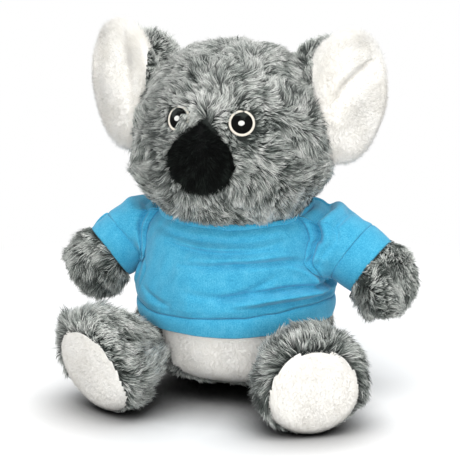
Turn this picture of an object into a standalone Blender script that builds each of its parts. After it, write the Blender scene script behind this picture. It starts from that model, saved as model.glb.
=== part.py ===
"""A small seated plush koala in a jersey shirt, in metres, with +Z up.

The toy faces -Y and sits on z = 0. The origin is the middle of its flat seat, below the neck. Left and right
are the toy's own, so its left side is at +X. Each plush skin is a shell, left open where it is sewn to its
neighbour, over a filling. The sewn joints are modelled as round roots in round seats, so that the limbs turn
without touching.
"""

import math

import bmesh
import bpy
from mathutils import Matrix, Vector
from mathutils.bvhtree import BVHTree

# Sewing clearances and wall thicknesses
SEAM_GAP = 0.0003
PLUSH_WALL = 0.0014
FILLING_EASE = 0.0007
JERSEY_WALL = 0.0009
BAND_WALL = 0.0012
SHORT_PILE_WALL = 0.0014
CUT_OVERRUN = 0.004
SEAT_CUT = 0.0005

# Torso
BODY_HEIGHT = 0.072
BODY_HALF_WIDTH = 0.0388
BODY_HALF_DEPTH = 0.0322
# Rows of a ring: height, half width and half depth
BODY_SHARES = (
    (0.00, 0.36, 0.36),
    (0.00, 0.66, 0.66),
    (0.07, 0.87, 0.87),
    (0.22, 0.985, 0.985),
    (0.42, 1.00, 1.00),
    (0.62, 0.93, 0.96),
    (0.80, 0.83, 0.88),
    (0.93, 0.74, 0.74),
    (1.00, 0.56, 0.56),
)
BELLY_CENTRE_HEIGHT = 0.034
BELLY_HALF_WIDTH = 0.0245
BELLY_HALF_HEIGHT = 0.0275

# Head, whose middle stands above the neck seam
HEAD_RISE = 0.033
HEAD_CENTRE_HEIGHT = BODY_HEIGHT + HEAD_RISE
HEAD_FORWARD = 0.004
HEAD_HALF_WIDTH = 0.0402
HEAD_HALF_DEPTH = 0.0345
HEAD_HALF_HEIGHT = 0.0358
# Rows of a ring: height from the middle, half width and half depth
HEAD_SHARES = (
    (-1.00, 0.36, 0.30),
    (-0.90, 0.66, 0.62),
    (-0.70, 0.87, 0.85),
    (-0.44, 0.975, 0.96),
    (-0.16, 1.00, 1.00),
    (0.12, 0.97, 1.00),
    (0.38, 0.88, 0.93),
    (0.64, 0.72, 0.76),
    (0.86, 0.49, 0.52),
    (0.98, 0.22, 0.24),
)
NECK_GAP_HEIGHT = BODY_HEIGHT + SEAM_GAP

# Nose
NOSE_TOP_RISE = 0.0130
NOSE_BOTTOM_DROP = 0.0178
NOSE_TOP_HEIGHT = HEAD_CENTRE_HEIGHT + NOSE_TOP_RISE
NOSE_BOTTOM_HEIGHT = HEAD_CENTRE_HEIGHT - NOSE_BOTTOM_DROP
NOSE_HALF_WIDTH = 0.0142
NOSE_STAND = 0.0066
NOSE_ROOT = 0.005
# Rows of a level: height from the bottom, half width
NOSE_SHARES = (
    (0.00, 0.30),
    (0.10, 0.72),
    (0.26, 0.95),
    (0.44, 1.00),
    (0.62, 0.84),
    (0.80, 0.54),
    (0.94, 0.26),
    (1.00, 0.12),
)

# Eyes
EYE_RISE = 0.0105
EYE_HEIGHT = HEAD_CENTRE_HEIGHT + EYE_RISE
EYE_HALF_SPACING = 0.0124
EYE_RING_RADIUS = 0.0045
EYE_THREAD_RADIUS = 0.00045
EYE_BLACK_THICKNESS = 0.0007
GLINT_RADIUS = 0.0010
GLINT_THICKNESS = 0.0005

# Ears
EAR_OVERHANG = 0.0044
EAR_RISE = 0.0158
EAR_CENTRE_SIDE = HEAD_HALF_WIDTH + EAR_OVERHANG
EAR_CENTRE_HEIGHT = HEAD_CENTRE_HEIGHT + EAR_RISE
EAR_CENTRE_FORWARD = 0.001
EAR_HALF_WIDTH = 0.0192
EAR_HALF_HEIGHT = 0.0255
EAR_HALF_THICKNESS = 0.0068
EAR_OUTWARD_TURN = math.radians(22)
EAR_TILT = math.radians(-7)
EAR_FRONT_SHARES = (0.86, 0.62, 0.90)
EAR_FRONT_OFFSET = 0.0042
EAR_FLEX = math.radians(12)
EAR_AXIS_SIDE_SHARE = 0.821
EAR_AXIS_RISE = 0.0140
EAR_AXIS_SIDE = HEAD_HALF_WIDTH * EAR_AXIS_SIDE_SHARE
EAR_AXIS_HEIGHT = HEAD_CENTRE_HEIGHT + EAR_AXIS_RISE
EAR_AXIS_LEAN = math.radians(22)

# Arms
SHOULDER_SIDE_SHARE = 0.941
SHOULDER_DROP = 0.0080
SHOULDER_SIDE = BODY_HALF_WIDTH * SHOULDER_SIDE_SHARE
SHOULDER_HEIGHT = BODY_HEIGHT - SHOULDER_DROP
ARM_SLOPE = math.radians(38)
ARM_ROOT_RADIUS = 0.0076
ARM_RADIUS = 0.0086
WRIST_RADIUS = 0.0098
PAW_RADIUS = 0.0138
PAW_REACH = 0.0320
UPPER_ARM_REACH = 0.0080
WRIST_REACH = 0.0248

# Legs
HIP_SIDE_SHARE = 0.933
HIP_FORWARD_SHARE = 0.863
HIP_SIDE = BODY_HALF_WIDTH * HIP_SIDE_SHARE
HIP_FORWARD = BODY_HALF_DEPTH * HIP_FORWARD_SHARE
HIP_HEIGHT = 0.0172
LEG_SPLAY = math.radians(30.5)
LEG_ROOT_RADIUS = 0.0140
FOOT_CENTRE_HEIGHT = 0.0203
FOOT_HALF_WIDTH = 0.0215
FOOT_HALF_HEIGHT = 0.0212
LEG_LENGTH = 0.0215
# Rows of a ring from the hip to the sole: distance, size
LEG_SHARES = ((0.26, 0.80), (0.52, 0.97), (0.80, 1.00), (0.97, 0.90))
SOLE_RADIUS = 0.0162
SOLE_CENTRE_HEIGHT = 0.0190
SOLE_DOME = 0.0012

# Shirt
HEM_HEIGHT = 0.0298
HEM_BAND_WIDTH = 0.0078
SHIRT_TOP_DROP = 0.0004
SHIRT_SIDE_EASE = 0.0024
SHIRT_DEPTH_EASE = 0.0030
SHIRT_TOP_HEIGHT = BODY_HEIGHT - SHIRT_TOP_DROP
SHIRT_HALF_WIDTH = BODY_HALF_WIDTH + SHIRT_SIDE_EASE
SHIRT_HALF_DEPTH = BODY_HALF_DEPTH + SHIRT_DEPTH_EASE
# Rows of a ring from the hem seam to the neck seam: height, half width and half depth
SHIRT_SHARES = (
    (0.00, 1.000, 0.985),
    (0.09, 1.005, 1.010),
    (0.19, 0.978, 1.000),
    (0.29, 0.942, 0.955),
    (0.40, 0.920, 0.960),
    (0.51, 0.900, 0.925),
    (0.61, 0.885, 0.935),
    (0.71, 0.865, 0.880),
    (0.82, 0.815, 0.850),
    (0.92, 0.760, 0.760),
    (1.00, 0.710, 0.700),
)
NECK_TILT = math.radians(8)
NECKBAND_WIDTH = 0.0024
NECKBAND_DRAW_IN = 0.0020
RAGLAN_NECK_SHARE = 0.694
RAGLAN_NECK_DROP = 0.0004
RAGLAN_ARMPIT_SHARE = 0.903
ARMPIT_DROP = 0.0160
RAGLAN_NECK_SIDE = SHIRT_HALF_WIDTH * RAGLAN_NECK_SHARE
RAGLAN_NECK_HEIGHT = SHIRT_TOP_HEIGHT - RAGLAN_NECK_DROP
RAGLAN_ARMPIT_SIDE = SHIRT_HALF_WIDTH * RAGLAN_ARMPIT_SHARE
RAGLAN_ARMPIT_HEIGHT = SHOULDER_HEIGHT - ARMPIT_DROP
# The armhole as an ellipse on the raglan line: its middle and half height
ARMHOLE_SHARES = (0.20, 0.82)
SLEEVE_ROOT_HALF_DEPTH = 0.0128
SLEEVE_HUMP_REACH = 0.0080
SLEEVE_HUMP_LIFT = 0.0038
SLEEVE_HUMP_HALF_HEIGHT = 0.0150
SLEEVE_HUMP_HALF_DEPTH = 0.0136
SLEEVE_END_LENGTH = 0.0014
CUFF_RADIUS = 0.0121
CUFF_START = 0.0147
CUFF_WIDTH = 0.0100

# Rings of a round root and of a paw, by angle from the ball's middle, in degrees
ROOT_ANGLES = (-62, -22)
PAW_ANGLES = (-2, 28, 60)

# Facets of each form: points round a ring
BODY_SIDES = 12
HEAD_SIDES = 12
FILLING_SIDES = 8
LIMB_SIDES = 8
SLEEVE_SIDES = 10
SHIRT_SIDES = 14
DISC_SIDES = 16
EAR_SIDES = 16
EAR_RINGS = 8
BALL_SIDES = 20
BALL_RINGS = 12
THREAD_SIDES = 5

AXIS_Y = Vector((0, 1, 0))
AXIS_Z = Vector((0, 0, 1))
SIDES = (("left", 1), ("right", -1))

PART_COLLECTION = "plush_koala"
CUTTER_COLLECTION = "cutters"


def clearScene():
    for obj in list(bpy.data.objects):
        bpy.data.objects.remove(obj, do_unlink=True)
    for name in (PART_COLLECTION, CUTTER_COLLECTION):
        collection = bpy.data.collections.new(name)
        bpy.context.scene.collection.children.link(collection)


def material(name, colour, roughness, sheen=0.0):
    made = bpy.data.materials.new(name)
    made.use_nodes = True
    shader = made.node_tree.nodes["Principled BSDF"]
    shader.inputs["Base Color"].default_value = (*colour, 1)
    shader.inputs["Roughness"].default_value = roughness
    shader.inputs["Metallic"].default_value = 0
    shader.inputs["Sheen Weight"].default_value = sheen
    return made


def objectFrom(bm, name, finish=None):
    """A part where a finish is given, and otherwise a cutter."""
    bmesh.ops.recalc_face_normals(bm, faces=bm.faces)
    mesh = bpy.data.meshes.new(name)
    bm.to_mesh(mesh)
    bm.free()
    mesh.shade_smooth()
    obj = bpy.data.objects.new(name, mesh)
    if finish:
        mesh.materials.append(finish)
        bpy.data.collections[PART_COLLECTION].objects.link(obj)
    else:
        obj.hide_render = True
        obj.display_type = "WIRE"
        bpy.data.collections[CUTTER_COLLECTION].objects.link(obj)
    return obj


def subdivide(obj, levels=1):
    modifier = obj.modifiers.new("Subdivision", "SUBSURF")
    modifier.levels = levels
    modifier.render_levels = levels


def thicken(obj, wall):
    modifier = obj.modifiers.new("Wall", "SOLIDIFY")
    modifier.thickness = wall
    modifier.offset = -1
    modifier.use_even_offset = True


def boolean(obj, other, operation="DIFFERENCE"):
    modifier = obj.modifiers.new(operation.title() + " " + other.name, "BOOLEAN")
    modifier.operation = operation
    modifier.solver = "EXACT"
    modifier.object = other


def cageSwell(sides):
    """Subdivision draws a ring of control points in by this share, so the cage is that much larger."""
    return 3 / (2 + math.cos(math.tau / sides))


def ringsCage(rings, sides, capStart, capEnd, swell=1.0):
    """A tube of rings. Each ring is a unit circle put in place by its own matrix."""
    bm = bmesh.new()
    bmesh.ops.create_circle(bm, segments=sides, radius=swell, cap_ends=capStart, matrix=rings[0])
    edges = list(bm.edges)
    last = rings[0]
    for ring in rings[1:]:
        made = bmesh.ops.extrude_edge_only(bm, edges=edges)["geom"]
        step = ring @ last.inverted()
        bmesh.ops.transform(bm, matrix=step, verts=[part for part in made if isinstance(part, bmesh.types.BMVert)])
        edges = [part for part in made if isinstance(part, bmesh.types.BMEdge) and part.is_boundary]
        last = ring
    if capEnd:
        bmesh.ops.edgeloop_fill(bm, edges=edges)
    return bm


def levelRing(height, halfWidth, halfDepth, forward=0.0, tilt=0.0):
    place = Matrix.Translation((0, -forward, height))
    return place @ Matrix.Rotation(tilt, 4, "X") @ Matrix.Diagonal((halfWidth, halfDepth, 1, 1))


def axisRing(origin, axis, reach, half, depth=None, up=None):
    """A ring square to an axis, at a distance along it. half runs in the upright plane, depth level."""
    level = axis.cross(up or AXIS_Z).normalized()
    upright = level.cross(axis).normalized()
    place = origin + axis * reach
    columns = (level * (depth or half), upright * half, axis, place)
    matrix = Matrix.Identity(4)
    for index, column in enumerate(columns):
        for row in range(len(column)):
            matrix[row][index] = column[row]
    return matrix


def bodyRings(grow=0.0, top=BODY_HEIGHT):
    rings = []
    for height, width, depth in BODY_SHARES:
        level = -SEAT_CUT - grow + height * (top + grow + SEAT_CUT)
        rings.append(levelRing(level, width * BODY_HALF_WIDTH + grow, depth * BODY_HALF_DEPTH + grow))
    return rings


def headRings(grow=0.0):
    rings = []
    for height, width, depth in HEAD_SHARES:
        level = HEAD_CENTRE_HEIGHT + height * (HEAD_HALF_HEIGHT + grow)
        rings.append(levelRing(level, width * HEAD_HALF_WIDTH + grow, depth * HEAD_HALF_DEPTH + grow, HEAD_FORWARD))
    return rings


def boxCutter(name, low, high):
    bm = bmesh.new()
    middle = (Vector(low) + Vector(high)) / 2
    size = Vector(high) - Vector(low)
    bmesh.ops.create_cube(bm, size=1, matrix=Matrix.Translation(middle) @ Matrix.Diagonal((*size, 1)))
    return objectFrom(bm, name)


def ballCutter(name, centre, radius):
    bm = bmesh.new()
    place = Matrix.Translation(centre)
    bmesh.ops.create_uvsphere(bm, u_segments=BALL_SIDES, v_segments=BALL_RINGS, radius=radius, matrix=place)
    return objectFrom(bm, name)


def shoulder(side):
    return Vector((side * SHOULDER_SIDE, 0, SHOULDER_HEIGHT))


def armAxis(side):
    return Vector((side * math.cos(ARM_SLOPE), 0, -math.sin(ARM_SLOPE)))


def hip(side):
    return Vector((side * HIP_SIDE, -HIP_FORWARD, HIP_HEIGHT))


def legAxis(side):
    return Vector((side * math.sin(LEG_SPLAY), -math.cos(LEG_SPLAY), 0))


def makeSkin(name, rings, sides, finish, capStart, capEnd):
    """The outer plush of a form, as a shell with an opening at each end that isn't capped."""
    obj = objectFrom(ringsCage(rings, sides, capStart, capEnd, cageSwell(sides)), name, finish)
    subdivide(obj)
    thicken(obj, PLUSH_WALL)
    return obj


def makeSolid(name, rings, sides, finish=None):
    obj = objectFrom(ringsCage(rings, sides, True, True, cageSwell(sides)), name, finish)
    subdivide(obj)
    return obj


def makeFilling(name, rings, sides, finish):
    """Packed fibre: the form of the skin over again, inside it."""
    return makeSolid(name, rings, sides, finish)


def makeTorso(finishes, cutters):
    cover = makeSkin("body_cover", bodyRings(), BODY_SIDES, finishes["grey_plush"], True, False)
    panel = makeSkin("belly_panel", bodyRings(), BODY_SIDES, finishes["white_pile"], True, False)
    inset = PLUSH_WALL + FILLING_EASE
    filling = makeFilling("body_filling", bodyRings(-inset, BODY_HEIGHT - inset), FILLING_SIDES, finishes["filling"])
    boolean(cover, cutters["belly_opening"])
    boolean(panel, cutters["belly_outline"], "INTERSECT")
    for obj in (cover, filling):
        for side in ("left", "right"):
            boolean(obj, cutters["arm_seat_" + side])
            boolean(obj, cutters["leg_seat_" + side])
    for side in ("left", "right"):
        boolean(panel, cutters["leg_seat_" + side])
    boolean(cover, cutters["table"])
    boolean(panel, cutters["table"])


def makeTorsoCutters():
    cutters = {}
    for name, ease in (("belly_opening", SEAM_GAP), ("belly_outline", 0)):
        origin = Vector((0, 0, BELLY_CENTRE_HEIGHT))
        halfHeight = BELLY_HALF_HEIGHT + ease
        halfWidth = BELLY_HALF_WIDTH + ease
        far = BODY_HALF_DEPTH + CUT_OVERRUN
        rings = [axisRing(origin, -AXIS_Y, reach, halfHeight, halfWidth) for reach in (CUT_OVERRUN, far)]
        cutters[name] = objectFrom(ringsCage(rings, DISC_SIDES, True, True), name)
    for name, side in SIDES:
        armSeat = ARM_ROOT_RADIUS + SEAM_GAP
        legSeat = LEG_ROOT_RADIUS + SEAM_GAP
        cutters["arm_seat_" + name] = ballCutter("arm_seat_" + name, shoulder(side), armSeat)
        cutters["leg_seat_" + name] = ballCutter("leg_seat_" + name, hip(side), legSeat)
    reach = BODY_HALF_WIDTH + HIP_SIDE + FOOT_HALF_WIDTH
    cutters["table"] = boxCutter("table", (-reach, -reach, -CUT_OVERRUN), (reach, reach, 0))
    return cutters


def makeHead(finishes, cutters):
    reach = HEAD_HALF_WIDTH + CUT_OVERRUN
    below = boxCutter("below_neck", (-reach, -reach, BODY_HEIGHT / 2), (reach, reach, NECK_GAP_HEIGHT))
    skin = makeSkin("head_cover", headRings(), HEAD_SIDES, finishes["grey_plush"], False, True)
    boolean(skin, below)
    filling = makeFilling("head_filling", headRings(-PLUSH_WALL - FILLING_EASE), FILLING_SIDES, finishes["filling"])
    boolean(filling, below)
    cutters["head_form"] = makeSolid("head_form", headRings(SEAM_GAP), HEAD_SIDES)
    return skin


def surfacePoint(obj, start, direction):
    """Where a line meets the outside of a part, and the way the surface faces there."""
    graph = bpy.context.evaluated_depsgraph_get()
    tree = BVHTree.FromObject(obj, graph)
    place, normal, _, _ = tree.ray_cast(start, direction)
    return place, normal


def makeNose(skin, finishes, cutters):
    """A pear-shaped pad: levels of a half-round section, laid on the head and cut to its form."""
    height = NOSE_TOP_HEIGHT - NOSE_BOTTOM_HEIGHT
    rings = []
    for level, width in NOSE_SHARES:
        place = NOSE_BOTTOM_HEIGHT + level * height
        front, _ = surfacePoint(skin, Vector((0, -HEAD_HALF_DEPTH * 2, place)), AXIS_Y)
        stand = NOSE_STAND * math.sqrt(width) + NOSE_ROOT
        centre = -front.y - NOSE_ROOT
        rings.append(levelRing(place, width * NOSE_HALF_WIDTH, stand, centre))
    nose = makeSolid("nose", rings, LIMB_SIDES, finishes["black_plush"])
    boolean(nose, cutters["head_form"])


def makeEye(skin, name, side, finishes):
    start = Vector((side * EYE_HALF_SPACING, -HEAD_HALF_DEPTH * 2, EYE_HEIGHT))
    place, normal = surfacePoint(skin, start, AXIS_Y)
    turn = normal.to_track_quat("Z", "Y").to_matrix().to_4x4()
    seat = place + normal * SEAM_GAP

    bm = bmesh.new()
    blackRadius = EYE_RING_RADIUS - EYE_THREAD_RADIUS - SEAM_GAP
    middle = Matrix.Translation(seat + normal * EYE_BLACK_THICKNESS / 2) @ turn
    bmesh.ops.create_cone(
        bm, cap_ends=True, segments=DISC_SIDES, radius1=blackRadius, radius2=blackRadius,
        depth=EYE_BLACK_THICKNESS, matrix=middle,
    )
    objectFrom(bm, "eye_black_" + name, finishes["black_thread"])

    bm = bmesh.new()
    glintSeat = seat + normal * (EYE_BLACK_THICKNESS + SEAM_GAP + GLINT_THICKNESS / 2)
    bmesh.ops.create_cone(
        bm, cap_ends=True, segments=LIMB_SIDES, radius1=GLINT_RADIUS, radius2=GLINT_RADIUS,
        depth=GLINT_THICKNESS, matrix=Matrix.Translation(glintSeat) @ turn,
    )
    objectFrom(bm, "eye_glint_" + name, finishes["white_thread"])

    bpy.ops.mesh.primitive_torus_add(
        major_segments=DISC_SIDES, minor_segments=THREAD_SIDES, major_radius=EYE_RING_RADIUS,
        minor_radius=EYE_THREAD_RADIUS,
    )
    ring = bpy.context.object
    ring.name = "eye_ring_" + name
    ring.matrix_world = Matrix.Translation(seat + normal * EYE_THREAD_RADIUS) @ turn
    ring.data.materials.append(finishes["white_thread"])
    for collection in list(ring.users_collection):
        collection.objects.unlink(ring)
    bpy.data.collections[PART_COLLECTION].objects.link(ring)


def earAxis(side):
    """Where the ear is sewn on: a point on the seam and its direction, which leans with the head's side."""
    point = Vector((side * EAR_AXIS_SIDE, -EAR_CENTRE_FORWARD, EAR_AXIS_HEIGHT))
    return point, Vector((-side * math.sin(EAR_AXIS_LEAN), 0, math.cos(EAR_AXIS_LEAN)))


def earPlace(side):
    centre = Vector((side * EAR_CENTRE_SIDE, -EAR_CENTRE_FORWARD, EAR_CENTRE_HEIGHT))
    turn = Matrix.Rotation(side * EAR_OUTWARD_TURN, 4, "Z") @ Matrix.Rotation(-side * EAR_TILT, 4, "Y")
    return Matrix.Translation(centre) @ turn


def earPad(name, side, shares, forward, grow=0.0, finish=None):
    sizes = (EAR_HALF_WIDTH, EAR_HALF_THICKNESS, EAR_HALF_HEIGHT)
    scale = [size * share + grow for size, share in zip(sizes, shares)]
    bm = bmesh.new()
    place = earPlace(side) @ Matrix.Translation((0, -forward, 0)) @ Matrix.Diagonal((*scale, 1))
    bmesh.ops.create_uvsphere(bm, u_segments=EAR_SIDES, v_segments=EAR_RINGS, radius=1, matrix=place)
    return objectFrom(bm, name, finish)


def makeEar(name, side, finishes, cutters):
    """Two sewn layers: the white front lies in the cup of the grey back. The root is cut clear of the head at
    rest and where the ear bends forwards and back."""
    back = earPad("ear_back_" + name, side, (1, 1, 1), 0, finish=finishes["grey_plush"])
    front = earPad("ear_front_" + name, side, EAR_FRONT_SHARES, EAR_FRONT_OFFSET, finish=finishes["white_pile"])
    boolean(back, earPad("ear_cup_" + name, side, EAR_FRONT_SHARES, EAR_FRONT_OFFSET, SEAM_GAP))
    point, direction = earAxis(side)
    for label, angle in (("rest", 0), ("forward", EAR_FLEX), ("back", -EAR_FLEX)):
        swept = cutters["head_form"].copy()
        swept.data = swept.data.copy()
        swept.name = "head_form_" + label + "_" + name
        about = Matrix.Translation(point) @ Matrix.Rotation(angle, 4, direction) @ Matrix.Translation(-point)
        swept.matrix_world = about
        bpy.data.collections[CUTTER_COLLECTION].objects.link(swept)
        boolean(back, swept)
        boolean(front, swept)


def armRings(side, inset=0.0):
    origin = shoulder(side)
    axis = armAxis(side)
    root = ARM_ROOT_RADIUS - inset
    rings = []
    for angle in ROOT_ANGLES:
        turn = math.radians(angle)
        rings.append(axisRing(origin, axis, root * math.sin(turn), root * math.cos(turn)))
    rings.append(axisRing(origin, axis, UPPER_ARM_REACH, ARM_RADIUS - inset))
    rings.append(axisRing(origin, axis, WRIST_REACH, WRIST_RADIUS - inset))
    paw = PAW_RADIUS - inset
    for angle in PAW_ANGLES:
        turn = math.radians(angle)
        rings.append(axisRing(origin, axis, PAW_REACH + paw * math.sin(turn), paw * math.cos(turn)))
    return rings


def legRings(side, inset=0.0):
    origin = hip(side)
    axis = legAxis(side)
    root = LEG_ROOT_RADIUS - inset
    rings = []
    for angle in ROOT_ANGLES:
        turn = math.radians(angle)
        rings.append(axisRing(origin, axis, root * math.sin(turn), root * math.cos(turn)))
    lift = FOOT_CENTRE_HEIGHT - HIP_HEIGHT
    for reach, share in LEG_SHARES:
        centre = origin + AXIS_Z * lift * min(1, 2 * reach)
        half = FOOT_HALF_HEIGHT * share - inset
        rings.append(axisRing(centre, axis, (LEG_LENGTH - inset) * reach, half, FOOT_HALF_WIDTH * share - inset))
    return rings


def makeArm(name, side, finishes):
    makeSkin("arm_" + name, armRings(side), LIMB_SIDES, finishes["grey_plush"], False, True)
    inset = PLUSH_WALL + FILLING_EASE
    makeFilling("arm_filling_" + name, armRings(side, inset), LIMB_SIDES, finishes["filling"])


def makeLeg(name, side, finishes, cutters):
    axis = legAxis(side)
    soleCentre = hip(side) + axis * LEG_LENGTH
    soleCentre.z = SOLE_CENTRE_HEIGHT
    skin = makeSkin("leg_" + name, legRings(side), LIMB_SIDES, finishes["grey_plush"], False, True)
    reaches = (-CUT_OVERRUN, CUT_OVERRUN)
    holeRings = [axisRing(soleCentre, axis, reach, SOLE_RADIUS + SEAM_GAP) for reach in reaches]
    hole = objectFrom(ringsCage(holeRings, DISC_SIDES, True, True), "sole_opening_" + name)
    boolean(skin, hole)
    boolean(skin, cutters["table"])
    inset = PLUSH_WALL + FILLING_EASE * 2
    filling = makeFilling("leg_filling_" + name, legRings(side, inset), LIMB_SIDES, finishes["filling"])
    boolean(filling, cutters["table"])

    discShares = ((0, 1.0), (SHORT_PILE_WALL, 1.0), (SHORT_PILE_WALL + SOLE_DOME, 0.6))
    rings = [axisRing(soleCentre, axis, reach - SHORT_PILE_WALL, SOLE_RADIUS * share) for reach, share in discShares]
    objectFrom(ringsCage(rings, DISC_SIDES, True, True), "sole_" + name, finishes["white_pile"])


def shirtRings():
    rings = []
    low = HEM_HEIGHT + HEM_BAND_WIDTH
    for height, width, depth in SHIRT_SHARES:
        level = low + height * (SHIRT_TOP_HEIGHT - low)
        tilt = NECK_TILT * height * height
        rings.append(levelRing(level, width * SHIRT_HALF_WIDTH, depth * SHIRT_HALF_DEPTH, 0, tilt))
    return rings


def raglanFrame(side):
    """The plane of the seam from the neck to the armpit: its middle, its upward line and its outward normal."""
    neck = Vector((side * RAGLAN_NECK_SIDE, 0, RAGLAN_NECK_HEIGHT))
    armpit = Vector((side * RAGLAN_ARMPIT_SIDE, 0, RAGLAN_ARMPIT_HEIGHT))
    upward = neck - armpit
    normal = Vector((side * upward.z, 0, -side * upward.x)).normalized()
    return (neck + armpit) / 2, upward, normal


def openTube(name, rings, sides, finish, wall):
    obj = objectFrom(ringsCage(rings, sides, False, False, cageSwell(sides)), name, finish)
    subdivide(obj)
    thicken(obj, wall)
    return obj


def makeShirt(finishes):
    jersey = finishes["jersey"]
    reach = SHIRT_HALF_WIDTH + CUT_OVERRUN
    top = SHIRT_TOP_HEIGHT + CUT_OVERRUN * 2
    halves = (("shirt_front", -reach, -SEAM_GAP / 2), ("shirt_back", SEAM_GAP / 2, reach))
    armholes = []
    for name, side in SIDES:
        middle, upward, normal = raglanFrame(side)
        centreShare, halfShare = ARMHOLE_SHARES
        centre = middle + upward * centreShare
        half = upward.length * halfShare
        rings = [axisRing(centre, normal, far, half, reach, upward) for far in (-SEAM_GAP / 2, reach / 2)]
        armholes.append(objectFrom(ringsCage(rings, DISC_SIDES, True, True), "armhole_" + name))
    for name, near, far in halves:
        panel = openTube(name, shirtRings(), SHIRT_SIDES, jersey, JERSEY_WALL)
        boolean(panel, boxCutter(name + "_half", (-reach, near, HEM_HEIGHT), (reach, far, top)), "INTERSECT")
        for armhole in armholes:
            boolean(panel, armhole)

    width, depth = SHIRT_SHARES[0][1:]
    bandTop = HEM_HEIGHT + HEM_BAND_WIDTH - SEAM_GAP
    bandWidth = width * SHIRT_HALF_WIDTH
    bandDepth = depth * SHIRT_HALF_DEPTH
    levels = (HEM_HEIGHT, bandTop)
    rings = [levelRing(level, bandWidth, bandDepth) for level in levels]
    openTube("hem_band", rings, SHIRT_SIDES, jersey, BAND_WALL)

    width, depth = SHIRT_SHARES[-1][1:]
    rings = []
    for share in (0, 1):
        level = SHIRT_TOP_HEIGHT + SEAM_GAP + share * NECKBAND_WIDTH
        draw = NECKBAND_DRAW_IN * share
        rings.append(levelRing(level, width * SHIRT_HALF_WIDTH - draw, depth * SHIRT_HALF_DEPTH - draw, 0, NECK_TILT))
    openTube("neckband", rings, SHIRT_SIDES, jersey, BAND_WALL)


def makeSleeve(name, side, finishes):
    middle, upward, normal = raglanFrame(side)
    origin = shoulder(side)
    axis = armAxis(side)
    root = axisRing(middle, normal, SEAM_GAP / 2, upward.length / 2, SLEEVE_ROOT_HALF_DEPTH, upward)
    reaches = (CUFF_START - SLEEVE_END_LENGTH, CUFF_START - SEAM_GAP)
    end = [axisRing(origin, axis, reach, CUFF_RADIUS) for reach in reaches]
    lean = (normal + axis).normalized()
    humpCentre = middle + lean * SLEEVE_HUMP_REACH + AXIS_Z * SLEEVE_HUMP_LIFT
    hump = axisRing(humpCentre, lean, 0, SLEEVE_HUMP_HALF_HEIGHT, SLEEVE_HUMP_HALF_DEPTH)
    openTube("sleeve_" + name, [root, hump, *end], SLEEVE_SIDES, finishes["jersey"], JERSEY_WALL)

    rings = [axisRing(origin, axis, reach, CUFF_RADIUS) for reach in (CUFF_START, CUFF_START + CUFF_WIDTH)]
    openTube("cuff_" + name, rings, SLEEVE_SIDES, finishes["jersey"], BAND_WALL)


def main():
    clearScene()
    finishes = {
        "grey_plush": material("grey_plush", (0.23, 0.24, 0.24), 0.9, 0.4),
        "white_pile": material("white_pile", (0.82, 0.80, 0.76), 0.9, 0.3),
        "black_plush": material("black_plush", (0.012, 0.012, 0.013), 0.85, 0.2),
        "black_thread": material("black_thread", (0.01, 0.01, 0.012), 0.5),
        "white_thread": material("white_thread", (0.85, 0.84, 0.78), 0.5),
        "jersey": material("jersey", (0.05, 0.45, 0.76), 0.85, 0.2),
        "filling": material("filling", (0.9, 0.9, 0.9), 0.95),
    }
    cutters = makeTorsoCutters()
    makeTorso(finishes, cutters)
    skin = makeHead(finishes, cutters)
    makeNose(skin, finishes, cutters)
    makeShirt(finishes)
    for name, side in SIDES:
        makeEye(skin, name, side, finishes)
        makeEar(name, side, finishes, cutters)
        makeArm(name, side, finishes)
        makeLeg(name, side, finishes, cutters)
        makeSleeve(name, side, finishes)


main()
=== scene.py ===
# A seated plush koala in a blue raglan shirt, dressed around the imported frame.
# The toy faces -Y and its own left side is at +X. Lengths are in metres, unless a note says millimetres.
import math

import bmesh
import bpy
import numpy as np
from mathutils import Matrix, Vector
from mathutils.kdtree import KDTree


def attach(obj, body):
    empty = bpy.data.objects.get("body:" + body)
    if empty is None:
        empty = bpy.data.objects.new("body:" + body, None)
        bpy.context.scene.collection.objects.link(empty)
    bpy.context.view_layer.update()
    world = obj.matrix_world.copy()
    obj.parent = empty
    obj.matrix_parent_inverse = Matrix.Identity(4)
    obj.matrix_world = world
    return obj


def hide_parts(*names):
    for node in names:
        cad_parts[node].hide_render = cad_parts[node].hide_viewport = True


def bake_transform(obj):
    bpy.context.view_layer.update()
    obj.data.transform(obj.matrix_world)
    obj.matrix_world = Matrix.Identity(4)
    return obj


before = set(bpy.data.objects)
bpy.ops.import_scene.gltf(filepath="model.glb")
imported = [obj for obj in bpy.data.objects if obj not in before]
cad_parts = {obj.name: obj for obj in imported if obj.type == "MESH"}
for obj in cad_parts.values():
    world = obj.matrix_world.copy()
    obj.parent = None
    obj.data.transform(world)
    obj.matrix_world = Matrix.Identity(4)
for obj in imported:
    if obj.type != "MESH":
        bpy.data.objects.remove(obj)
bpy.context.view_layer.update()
mm = 0.001
sides = (("left", 1), ("right", -1))


def makeActive(obj):
    for other in bpy.context.selected_objects:
        other.select_set(False)
    obj.select_set(True)
    bpy.context.view_layer.objects.active = obj


def applyModifiers(obj):
    makeActive(obj)
    for modifier in list(obj.modifiers):
        bpy.ops.object.modifier_apply(modifier=modifier.name)


def srgb(red, green, blue):  # a colour as seen, from 0 to 255, as the shader's linear value
    shares = [value / 255 for value in (red, green, blue)]
    return tuple(s / 12.92 if s <= 0.04045 else ((s + 0.055) / 1.055) ** 2.4 for s in shares) + (1,)


# Camera and studio

view = {
    "azimuth": math.radians(17),
    "elevation": math.radians(14.5),
    "distance": 0.78,
    "metresPerPixel": 0.0004,  # at the toy's middle
    "imagePixels": 460,
    "seatPixel": (236, 385),  # where the middle of the seat lies in the picture
    "sensor": 36,
    "farthest": 20,
}


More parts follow.
